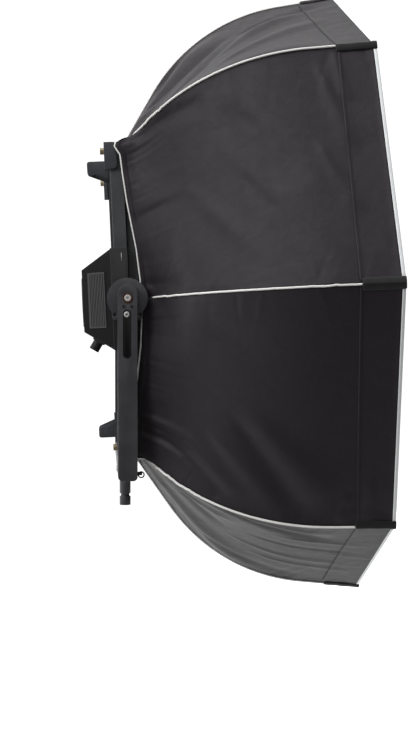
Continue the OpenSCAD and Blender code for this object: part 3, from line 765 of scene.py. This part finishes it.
# The strip over the frame's end rail, in metres: where its rear edge runs level (forward, up),
# from what share of the way to the corner it bends, and the point that the bend is drawn to
COLLAR_LEVEL = (0.017, 0.3588)
COLLAR_BEND = 0.84
COLLAR_CORNER = np.array([-0.002, 0.366, 0.3635])


def collar_inner(t, side, up):
    """The rear edge of the strip over the frame's end rail, at share t from its middle to a corner.

    It runs level along the rail, then bends back round the clamp to the side cloth's hem."""
    end, corner = seam_point(2, 0.0), seam_point(1, 0.0)
    x, z = (np.full_like(t, value) for value in COLLAR_LEVEL)
    level = np.stack([x, (end + (corner - end) * t[:, None])[:, 1], z], -1)
    s = np.clip((t - COLLAR_BEND) / 0.16, 0, 1)[:, None]
    hem = hem_point(np.array([1.0]), 1, 1)
    start = level[np.searchsorted(t, COLLAR_BEND)]
    bent = (1 - s) ** 2 * start + 2 * s * (1 - s) * COLLAR_CORNER + s * s * hem
    return np.where(s > 0, bent, level) * np.array([1, side, up])


HEM_TAPE = 0.014
# How far each of the tape's five lines of points stands off the cloth, in metres
TAPE_LIFT = 0.0008 * np.array([1, 1, 1, 0.9, -1.5])[:, None, None]


class SOFTBOX_OT_rear_cloth(bpy.types.Operator):
    """Make the hem tapes behind the arms and the strips that close the top and bottom"""

    bl_idname = "softbox.rear_cloth"
    bl_label = "Rear cloth"

    def execute(self, context):
        sizes = context.scene.softbox_sizes
        parts = []
        for k in SIDE_PANELS:
            grid = side_cloth(k, np.linspace(0, 1, 81), sizes)
            inward = grid[7] - grid[0]
            inward *= HEM_TAPE / np.linalg.norm(inward, axis=-1, keepdims=True)
            tape = grid[0] + inward * np.linspace(0, 1, len(TAPE_LIFT))[:, None, None]
            parts.append(Part(tape + grid_normals(tape) * TAPE_LIFT))
        skirts = make_piece("cloth_hem_tapes", parts, soft("shell"), "head")
        thicken(skirts, sizes.cloth_thickness)
        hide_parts("side_skirts")
        strips = []
        t = np.linspace(0.0, 1.0, 101)
        end, corner = seam_point(2, 0.0), seam_point(1, 0.0)
        for up in (1, -1):
            for side in (1, -1):
                outer = (end + (corner - end) * t[:, None]) * np.array([1, side, up])
                inner = collar_inner(t, side, up)
                s = np.linspace(0, 1, 9)[None, :, None]
                near_corner = smooth((t - 0.8) / 0.2)[:, None, None]
                bow = 0.004 * np.sin(np.pi * s) * near_corner * np.array([0, side * 0.5, up])
                strip = outer[:, None] * (1 - s) + inner[:, None] * s + bow
                strips.append(Part(strip, flip=up * side > 0))
        collar = make_piece("cloth_rear_collar", strips, soft("shell"), "head")
        thicken(collar, 0.0008, offset=0)
        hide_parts("rear_collar")
        return {"FINISHED"}


# Where the piping crinkles: the middle and width of each span as shares of its path, and its
# height in millimetres
LOWER_CORNER_SPANS = [(0.27, 0.035, 3.0), (0.14, 0.06, 2.2), (0.04, 0.04, 1.0)]
UPPER_CORNER_SPANS = [(0.19, 0.035, 2.6), (0.08, 0.05, 1.2)]
MIDDLE_SPANS = [(0.12, 0.1, 0.5), (0.9, 0.08, 0.6)]


def crinkle_spans(k):
    """The crinkled spans of seam k: odd seams run to the frame's corners."""
    if k % 2 == 0:
        return MIDDLE_SPANS
    return LOWER_CORNER_SPANS if k in (5, 7) else UPPER_CORNER_SPANS


def crinkled(path, seed, sideways, spans):
    """A path shaken a little where it crinkles: sums of sines whose height rises in each span."""
    t = np.linspace(0, 1, len(path))
    rng = np.random.default_rng(seed)
    amount = 0.12 + sum(h * np.exp(-(((t - c) / w) ** 2)) for c, w, h in spans)
    wave = sum(
        np.sin(t * turns + rng.uniform(0, 6.28)) / (1 + i * 0.5)
        for i, turns in enumerate((52, 87, 141, 220))
    )
    return path + (wave * amount * 0.7 * MM)[:, None] * sideways


class SOFTBOX_OT_piping(bpy.types.Operator):
    """Make the pale corded piping along the seams and the rear hems"""

    bl_idname = "softbox.piping"
    bl_label = "Seam piping"

    def execute(self, context):
        sizes = context.scene.softbox_sizes
        r = sizes.piping_radius
        parts = []
        for k in range(RODS):
            d = np.linspace(0.0, seam_length(k) - BAND - 0.001, 280)
            turned = ROD_STEP * k
            sideways = np.array([0, -math.sin(turned), math.cos(turned)])
            cord = r * (1.35 if k % 2 else 1.15)
            path = crinkled(seam_point(k, d, cord * 0.9), 40 + k, sideways, crinkle_spans(k))
            up = seam_point(k, d, 0.01) - seam_point(k, d, 0.0)
            parts.append(Part(sweep(path, circle(cord, 10), up), round_u=True, caps=True))
        for side in (1, -1):
            share = np.linspace(-1, 1, 240)
            same = np.ones_like(share)
            path = hem_point(np.abs(share), side, 1) * np.stack([same, same, np.sign(share)], -1)
            path = path + np.array([-r, side * 0.0008, 0])
            cord = sweep(path, circle(r * 0.9, 8), np.array([0, side, 0.0]))
            parts.append(Part(cord, round_u=True, caps=True))
        for up in (1, -1):
            for side in (1, -1):
                t = np.linspace(0.004, 0.99, 90)[:, None]
                end, corner = seam_point(2, 0.0), seam_point(1, 0.0)
                a = end + (corner - end) * t
                path = np.stack([a[:, 0] - r * 0.3, side * a[:, 1], up * (a[:, 2] + 0.8 * r)], -1)
                cord = sweep(path, circle(r * 0.85, 8), np.array([0, 0, up * 1.0]))
                parts.append(Part(cord, round_u=True, caps=True))
        obj = make_piece("corded_seam_piping", parts, soft("piping"), "head")
        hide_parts("seam_piping")
        return {"FINISHED"}


# Points across a pocket's outer roof
ROOF_POINTS = 21


def pocket_outline(half, drop, lift):
    """Cross-section of a pocket folded over a seam: a crowned roof outside, a thin roof inside.

    Outside height is lift * (1 - |t|^3)^0.8 - drop * |t|; inside lies 0.2 mm over the cloth."""
    t = np.linspace(-1, 1, ROOF_POINTS)
    crown = lift * (1 - np.abs(t) ** 3) ** 0.8
    outer = np.stack([half * t, crown - drop * np.abs(t) + 0.0012], -1)
    inner = np.stack([half * t[::-1] * 0.985, -drop * np.abs(t[::-1]) + 0.0002], -1)
    return np.concatenate([outer, inner])


class SOFTBOX_OT_rod_pockets(bpy.types.Operator):
    """Make the webbing pockets that hold the rod tips at the rim"""

    bl_idname = "softbox.rod_pockets"
    bl_label = "Rod pockets"

    def execute(self, context):
        sizes = context.scene.softbox_sizes
        parts = []
        half = sizes.pocket_width / 2
        outline = pocket_outline(half, half * math.tan(ROD_STEP / 2) * 0.9, 0.0042)
        for k in range(RODS):
            length = seam_length(k)
            d = np.linspace(length - BAND - 0.001, length + 0.0075, 34)
            tuck = smooth(np.minimum(d - d[0], d[-1] - d) / 0.004)
            shape = outline[None] * (0.93 + 0.07 * tuck)[:, None, None]
            ripple = 0.00035 * np.sin((d - d[0]) * 160)
            shape[..., 1] += ripple[:, None] * (np.arange(len(outline)) < ROOF_POINTS)
            path = seam_point(k, d, 0.0006)
            up = seam_point(k, d, 0.01) - seam_point(k, d, 0.0)
            parts.append(Part(sweep(path, shape, up), round_u=True, caps=True))
        obj = make_piece("webbing_rod_pockets", parts, soft("webbing"), "head")
        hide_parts("rod_pockets")
        return {"FINISHED"}


def octagon_edge(angle):
    """Share of the corner radius that a flat-sided octagon has at an angle from a corner."""
    within = (angle % ROD_STEP) - ROD_STEP / 2
    return math.cos(ROD_STEP / 2) / np.cos(within)


def disc(x, radii, angle):
    """A cloth across the axis, as rings of points: its UV map is its own plane, in metres."""
    grid = np.stack([np.broadcast_to(x, radii.shape), radii * np.cos(angle), radii * np.sin(angle)], -1)
    return Part(grid, uv=np.concatenate([grid, grid[:, :1]], 1)[..., 1:], round_u=True)


HEM_WIDTH = 0.016
# The front cloth's hem in millimetres: steps out from its flat part, and forward of the rim
FRONT_HEM = [(2, 2.2), (4, 3.2), (7, 5.2), (11, 6.4), (14, 6.4), (15.6, 5.6), (16, 4.2), (16, 1.5),
             (16, -1.0)]


class SOFTBOX_OT_outer_diffuser(bpy.types.Operator):
    """Make the white front cloth with its hem turned over the rim"""

    bl_idname = "softbox.outer_diffuser"
    bl_label = "Outer diffuser"

    def execute(self, context):
        sizes = context.scene.softbox_sizes
        angle = np.arange(RODS * 24) * 2 * math.pi / (RODS * 24)
        share = octagon_edge(angle)
        flat = TIP_R + 0.0005 - HEM_WIDTH
        hem = np.array(FRONT_HEM) * MM
        middle = np.linspace(0.004, 1, 40)
        radii = np.concatenate([middle * flat, flat + hem[:, 0]])
        stand = np.concatenate([0.002 + sizes.diffuser_bulge * (1 - middle**2), hem[:, 1]])
        rng = np.random.default_rng(7)
        grid_r = radii[:, None] * share[None, :]
        rho = np.minimum(radii / flat, 1)[:, None]
        fullness = sum(
            rng.uniform(-1, 1) * np.cos(angle * m + rng.uniform(0, 6.28)) for m in (8, 16, 24, 40, 56)
        )
        x = RIM_X + stand[:, None] + 0.0007 * fullness * rho**6 * (1 - rho) * 12
        obj = make_piece("cloth_outer_diffuser", [disc(x, grid_r, angle)], soft("diffusion"),
                         "head")
        thicken(obj, 0.0008)
        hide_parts("outer_diffuser")
        return {"FINISHED"}


INNER_X = 0.2358
# The depth of the inner cloth's scallops as a share of its radius, how far from the axis the
# strap of each rod ends by the rod's number in a quarter turn, and a strap's cross-section
SCALLOP = 0.045
STRAP_REACH = (0.6275, 0.6785, 0.647, 0.6785)
STRAP = np.array([[-9, -0.7], [9, -0.7], [9.6, 0], [9, 0.7], [-9, 0.7], [-9.6, 0]]) * MM


class SOFTBOX_OT_inner_diffuser(bpy.types.Operator):
    """Make the inner diffuser, hung slack between eight straps"""

    bl_idname = "softbox.inner_diffuser"
    bl_label = "Inner diffuser and straps"

    def execute(self, context):
        low, high = (np.array(v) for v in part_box("inner_diffuser"))
        radius = (high[1] - low[1]) / 2
        angle = np.arange(RODS * 20) * 2 * math.pi / (RODS * 20)
        scallop = 1 - SCALLOP * np.sin(((angle % ROD_STEP) / ROD_STEP) * math.pi)
        edge = octagon_edge(angle) * scallop * radius
        rho = np.linspace(0.004, 1, 36)[:, None]
        sag = 0.010 * (1 - rho**2) + 0.0015 * rho**3 * np.cos(angle * 16)[None]
        cloth = disc(INNER_X + sag, rho * edge[None], angle)
        obj = make_piece("cloth_inner_diffuser", [cloth], soft("diffusion"), "head")
        thicken(obj, 0.0008)
        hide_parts("inner_diffuser")
        parts = []
        for k in range(RODS):
            turned = ROD_STEP * k
            d = np.linspace(radius - 0.03, STRAP_REACH[k % 4] - 0.004, 12)
            x = np.full_like(d, INNER_X + 0.0016)
            path = np.stack([x, d * math.cos(turned), d * math.sin(turned)], -1)
            parts.append(Part(sweep(path, STRAP, np.array([1.0, 0, 0])), round_u=True, caps=True))
        straps = make_piece("hanging_straps", parts, soft("webbing"), "head")
        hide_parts("diffuser_straps")
        return {"FINISHED"}


# ---------- hard parts ----------


def finishes(colours):
    """The finish of each hard node, by the record's material slot."""
    return {
        "rod_steel": material_once("spring_steel_drawn", turned_metal, "#b4b7bb", 0.32),
        "black_plastic": material_once("glass_filled_nylon_black", moulded_plastic, "#161617", 0.55),
        "frame_black": material_once("powder_coat_frame", powder_coat, colours.frame),
        "screw_steel": material_once("zinc_plated_steel", turned_metal, "#d9d9d6", 0.5, 0.7, 0.55),
        "thumb_brass": material_once("knurled_brass_dull", turned_metal, colours.brass, 0.38),
        "lamp_black": material_once("powder_coat_lamp", powder_coat, colours.lamp),
        "lamp_diffuser": material_once("opal_acrylic", moulded_plastic, "#eceae6", 0.4, 1.49),
        "circuit_board": material_once("solder_mask_green", moulded_plastic, "#174d31", 0.3),
        "led_phosphor": material_once("phosphor_silicone", moulded_plastic, "#e8d488", 0.35, 1.41),
        "yoke_black": material_once("powder_coat_yoke", powder_coat, colours.yoke, 0.9, 0.42),
        "bush_bronze": material_once("bearing_bronze", turned_metal, colours.bronze, 0.35),
        "cap_black": material_once("black_oxide_steel", moulded_plastic, "#070708", 0.6, 1.5),
        "plate_black": material_once(
            "polyester_label_black", moulded_plastic, "#0c0c0d", 0.22, 1.55, 1.2, 0.02
        ),
    }


# Width in millimetres of the rounding on the edges of each metal or plastic part
ROUNDED = {
    "yoke_arm_left": 5.0, "yoke_arm_right": 5.0, "yoke_crossbar": 4.0, "tilt_hubs": 3.0,
    "frame_clamps": 5.0, "handle_bars": 5.0, "handle_brackets": 2.0, "rear_housing": 7.0,
    "side_brackets": 3.0,
    "lamp_side_rails": 1.5, "lamp_end_rails": 1.5, "arm_plates": 0.8, "lock_lever": 3.0,
    "power_connector": 1.5, "spigot": 1.0, "tilt_washers": 0.4, "tilt_bolts": 1.2,
}


# A screw's button head: radii and heights in millimetres of its rim, crown and key socket
BUTTON_HEAD = [(6.4, 0.0), (6.4, 1.5), (6.0, 2.1), (5.0, 2.6), (2.7, 2.9), (2.4, 2.7), (2.3, 1.3),
               (0.05, 1.2)]
# Where the plate's screw sits from the pivot (forward, up), in metres
SCREW_X, SCREW_Z = -0.002, -0.037
# The index line's two edges and its ends on the side block, in millimetres
LINE_X = np.array([-9.5, -8.7])
LINE_Z = np.linspace(87, 104, 3)


class SOFTBOX_OT_small_marks(bpy.types.Operator):
    """Make the bright screws on the arms' plates and the index lines on the side blocks"""

    bl_idname = "softbox.small_marks"
    bl_label = "Plate screws and index lines"

    def execute(self, context):
        colours = context.scene.softbox_colours
        screws, lines = [], []
        plate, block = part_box("arm_plates")[0][1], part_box("side_brackets")[0][1]
        profile = np.array(BUTTON_HEAD) * MM
        radius, height = profile[:, :1], profile[:, 1:]
        angle = np.linspace(0, 2 * math.pi, 33)[:-1]
        for side in (1, -1):
            across = np.broadcast_to(side * (abs(plate) + height), (len(profile), len(angle)))
            head = np.stack([radius * np.cos(angle) + SCREW_X, across,
                             radius * np.sin(angle) + SCREW_Z], -1)
            screws.append(Part(head + PIVOT, round_u=True, caps=True, flip=side > 0))
            x, z = np.meshgrid(LINE_X * MM, LINE_Z * MM)
            y = np.full_like(x, side * (abs(block) + 0.0003))
            lines.append(Part(np.stack([x, y, z], -1), flip=side > 0))
        make_piece("plate_screw_heads", screws, finishes(colours)["screw_steel"], "yoke")
        paint = material_once("index_line_paint_white", moulded_plastic, "#e9e9e6", 0.6)
        marks = make_piece("painted_index_lines", lines, paint, "head")
        thicken(marks, 0.0003)
        return {"FINISHED"}


# Faces that meet at less than this are joined into one flat face before its edges are rounded
FLAT = math.radians(0.6)


class SOFTBOX_OT_rounded_edges(bpy.types.Operator):
    """Stand rounded copies in for the machined and cast parts"""

    bl_idname = "softbox.rounded_edges"
    bl_label = "Rounded metal and plastic parts"

    def execute(self, context):
        slots = {entry["node"]: entry["material_slot"] for entry in frame["record"]["subparts"]}
        bodies = {name: body_of(obj)[0] for name, obj in frame["nodes"].items()}
        by_slot = finishes(context.scene.softbox_colours)
        for node, width in ROUNDED.items():
            source = frame["nodes"][node]
            shape = bmesh.new()
            shape.from_mesh(source.data)
            bmesh.ops.remove_doubles(shape, verts=shape.verts, dist=0.00002)
            bmesh.ops.dissolve_limit(shape, angle_limit=FLAT, verts=shape.verts, edges=shape.edges)
            for face in shape.faces:
                face.smooth = True
            mesh = bpy.data.meshes.new(f"rounded_{node}")
            shape.to_mesh(mesh)
            shape.free()
            mesh.materials.append(by_node(node, by_slot, slots[node]))
            obj = bpy.data.objects.new(f"rounded_{node}", mesh)
            context.scene.collection.objects.link(obj)
            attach(obj, bodies[node])
            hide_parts(node)
            edge = obj.modifiers.new("rounding", "BEVEL")
            edge.width, edge.segments = width * MM, 3
            edge.limit_method, edge.angle_limit = "ANGLE", math.radians(30)
            edge.harden_normals = True
        return {"FINISHED"}


HANDLE_PAINT = ("matt_paint_handle", powder_coat, "#4a4b4e", 0.9, 0.8, 0.0)
# The nodes whose finish isn't their slot's: the material's name, its recipe and its settings
OWN_FINISHES = {
    "rear_housing": ("moulded_housing_black", moulded_plastic, "#0d0d0e", 0.7, 1.28),
    "lamp_back_plate": ("matt_paint_back_plate", powder_coat, "#2e2f31", 0.9, 0.8, 0.0),
    "handle_bars": HANDLE_PAINT,
    "handle_brackets": HANDLE_PAINT,
    "frame_clamps": ("matt_paint_clamp", powder_coat, "#47484b", 0.9, 0.8, 0.0),
    "side_brackets": ("powder_coat_block", powder_coat, "#202022"),
    "side_vents": ("ribbed_panel_grey", moulded_plastic, "#39393b", 0.6),
}


def by_node(node, by_slot, slot):
    """The finish of one node: its own if it has one, or else its slot's."""
    if node in OWN_FINISHES:
        return material_once(*OWN_FINISHES[node])
    return by_slot.get(slot)


class SOFTBOX_OT_hard_finishes(bpy.types.Operator):
    """Give every metal and plastic node its finish"""

    bl_idname = "softbox.hard_finishes"
    bl_label = "Metal and plastic finishes"

    def execute(self, context):
        by_slot = finishes(context.scene.softbox_colours)
        for entry in frame["record"]["subparts"]:
            material = by_node(entry["node"], by_slot, entry["material_slot"])
            if material is not None:
                for spot in frame["nodes"][entry["node"]].material_slots:
                    spot.material = material
        return {"FINISHED"}


# ---------- stage ----------

FLOOR_FRONT = -1.1
FLOOR_BACK = 7.0
CAMERA_FROM_PIVOT = Vector((-0.0541, -3.7387, -0.0896))
CAMERA_YAW = math.radians(3.94)
CAMERA_PITCH = math.radians(-1.46)
LENS_MM = 70.6


# Each light: its name, place, the point that it faces, its width and the setting of its power
LIGHTS = (
    ("overhead_light", (-0.3, -0.9, 3.0), (0.2, -0.2, 0.4), 1.6, "top_power"),
    ("fill_light", (-2.6, -2.6, 2.3), (0.1, 0, 0.4), 1.4, "fill_power"),
)
# The room's ramps of brightness: axis, where each starts and ends, and its strength at both
BEHIND = ("Y", -0.15, 0.6, 0.0, 1.1)
ABOVE = ("Z", -0.1, 0.8, 0.05, 0.62)
LEFT = ("X", 0.2, -0.9, 0.0, 0.3)


def add_area(name, place, aim, size, power):
    light = bpy.data.lights.new(name, "AREA")
    light.shape, light.size, light.energy, light.spread = "DISK", size, power, math.pi
    obj = bpy.data.objects.new(name, light)
    obj.location = place
    obj.rotation_euler = (Vector(aim) - Vector(place)).to_track_quat("-Z", "Y").to_euler()
    bpy.context.scene.collection.objects.link(obj)


def paper_material(settings):
    """Seamless paper: flat matt white with a faint fibre. Its emission is painted light: it glows behind
    the object, as paper lit from under would, and stays dim in front of it."""
    material, tree, shader = new_material("seamless_paper_white")
    place = add(tree, "ShaderNodeTexCoord").outputs["Object"]
    fibre = add(tree, "ShaderNodeTexNoise", {"Vector": place, "Scale": 300.0, "Detail": 2.0})
    bump = add(tree, "ShaderNodeBump",
               {"Height": fibre.outputs["Fac"], "Distance": 0.0002, "Strength": 0.2})
    depth = add(tree, "ShaderNodeSeparateXYZ", {0: place}).outputs["Y"]
    # painted light: the paper's emission rises from nothing in front of the object to 0.95 behind it
    painted_glow = add(tree, "ShaderNodeMapRange",
               {"Value": depth, "From Min": 0.1, "From Max": 0.85, "To Min": 0.0, "To Max": 0.95},
               interpolation_type="SMOOTHSTEP")
    set_inputs(tree, shader, Base_Color=linear(settings.floor), Roughness=0.9,
               Normal=bump.outputs["Normal"], Specular_IOR_Level=0.0,
               Emission_Color=(1, 1, 1, 1), Emission_Strength=painted_glow.outputs["Result"])
    return material


def add_floor(settings):
    """The paper: a level floor, its shape the same all the way across; its material's painted glow
    brightens it behind the object.
    """
    x, y = np.meshgrid(np.linspace(-9, 9, 12), np.linspace(FLOOR_FRONT, FLOOR_BACK, 8))
    grid = np.stack([x, y, np.full_like(x, settings.floor_z)], -1)
    material = paper_material(settings)
    mesh = bpy.data.meshes.new("paper_floor")
    mesh.from_pydata(grid.reshape(-1, 3).tolist(), [], grid_quads(*x.shape).tolist())
    mesh.polygons.foreach_set("use_smooth", np.ones(len(mesh.polygons), bool))
    mesh.materials.append(material)
    floor = bpy.data.objects.new("paper_floor", mesh)
    bpy.context.scene.collection.objects.link(floor)


def add_room():
    """The room: white behind the object, grey overhead and dark at the front, low down. The
    camera sees all of it as white."""
    world = bpy.data.worlds.new("white_room")
    world.use_nodes = True
    tree, back = world.node_tree, world.node_tree.nodes["Background"]
    direction = add(tree, "ShaderNodeTexCoord").outputs["Generated"]
    facing = add(tree, "ShaderNodeSeparateXYZ", {0: direction}).outputs
    behind, above, left = (
        add(tree, "ShaderNodeMapRange",
            {"Value": facing[axis], "From Min": start, "From Max": end, "To Min": low, "To Max": high},
            interpolation_type="SMOOTHSTEP").outputs["Result"]
        for axis, start, end, low, high in (BEHIND, ABOVE, LEFT)
    )
    brighter = add(tree, "ShaderNodeMath", {0: behind, 1: above}, operation="MAXIMUM").outputs[0]
    light = add(tree, "ShaderNodeMath", {0: brighter, 1: left}, operation="ADD").outputs[0]
    seen = add(tree, "ShaderNodeLightPath").outputs["Is Camera Ray"]
    shown = add(tree, "ShaderNodeMath", {0: light, 1: seen}, operation="MAXIMUM").outputs[0]
    tree.links.new(shown, back.inputs["Strength"])
    back.inputs["Color"].default_value = (1, 1, 1, 1)
    bpy.context.scene.world = world


def add_camera():
    """The camera, placed from the tilt pivot and turned by its yaw and pitch."""
    camera = bpy.data.cameras.new("camera")
    camera.lens, camera.sensor_width = LENS_MM, 36.0
    camera.clip_end = 100
    obj = bpy.data.objects.new("camera", camera)
    obj.location = Vector(PIVOT) + CAMERA_FROM_PIVOT
    ahead = Vector((
        math.sin(CAMERA_YAW) * math.cos(CAMERA_PITCH),
        math.cos(CAMERA_YAW) * math.cos(CAMERA_PITCH),
        math.sin(CAMERA_PITCH),
    ))
    obj.rotation_euler = ahead.to_track_quat("-Z", "Y").to_euler()
    bpy.context.scene.collection.objects.link(obj)
    return obj


class SOFTBOX_OT_studio(bpy.types.Operator):
    """Make the pale floor, the soft lights and the camera"""

    bl_idname = "softbox.studio"
    bl_label = "Studio"

    def execute(self, context):
        scene, settings = context.scene, context.scene.studio_settings
        add_floor(settings)
        add_room()
        for name, place, aim, size, power in LIGHTS:
            add_area(name, place, aim, size, getattr(settings, power))
        camera = add_camera()
        bpy.context.scene.camera = camera
        scene.view_settings.view_transform = "Standard"
        scene.view_settings.look = "None"
        return {"FINISHED"}


class SOFTBOX_PT_sidebar(bpy.types.Panel):
    """Lists the softbox's operators, sizes and colours"""

    bl_idname = "SOFTBOX_PT_sidebar"
    bl_label = "Softbox"
    bl_space_type = "VIEW_3D"
    bl_region_type = "UI"
    bl_category = "Softbox"

    def draw(self, context):
        for operator in OPERATORS:
            self.layout.operator(operator.bl_idname)
        for name in GROUPS:
            group = getattr(context.scene, name)
            box = self.layout.box()
            for key in group.__annotations__:
                box.prop(group, key)


GROUPS = {
    "softbox_sizes": SoftboxSizes,
    "softbox_colours": SoftboxColours,
    "studio_settings": StudioSettings,
}
OPERATORS = (
    SOFTBOX_OT_studio,
    SOFTBOX_OT_shell_panels,
    SOFTBOX_OT_front_band,
    SOFTBOX_OT_rear_cloth,
    SOFTBOX_OT_piping,
    SOFTBOX_OT_rod_pockets,
    SOFTBOX_OT_outer_diffuser,
    SOFTBOX_OT_inner_diffuser,
    SOFTBOX_OT_small_marks,
    SOFTBOX_OT_rounded_edges,
    SOFTBOX_OT_hard_finishes,
)


def register():
    for kind in (*GROUPS.values(), *OPERATORS, SOFTBOX_PT_sidebar):
        bpy.utils.register_class(kind)
    for name, group in GROUPS.items():
        setattr(bpy.types.Scene, name, PointerProperty(type=group))


def unregister():
    for name in GROUPS:
        delattr(bpy.types.Scene, name)
    for kind in (SOFTBOX_PT_sidebar, *reversed(OPERATORS), *reversed(GROUPS.values())):
        bpy.utils.unregister_class(kind)


def main():
    register()
    for operator in OPERATORS:
        group, name = operator.bl_idname.split(".")
        getattr(getattr(bpy.ops, group), name)()


if __name__ == "__main__":
    main()
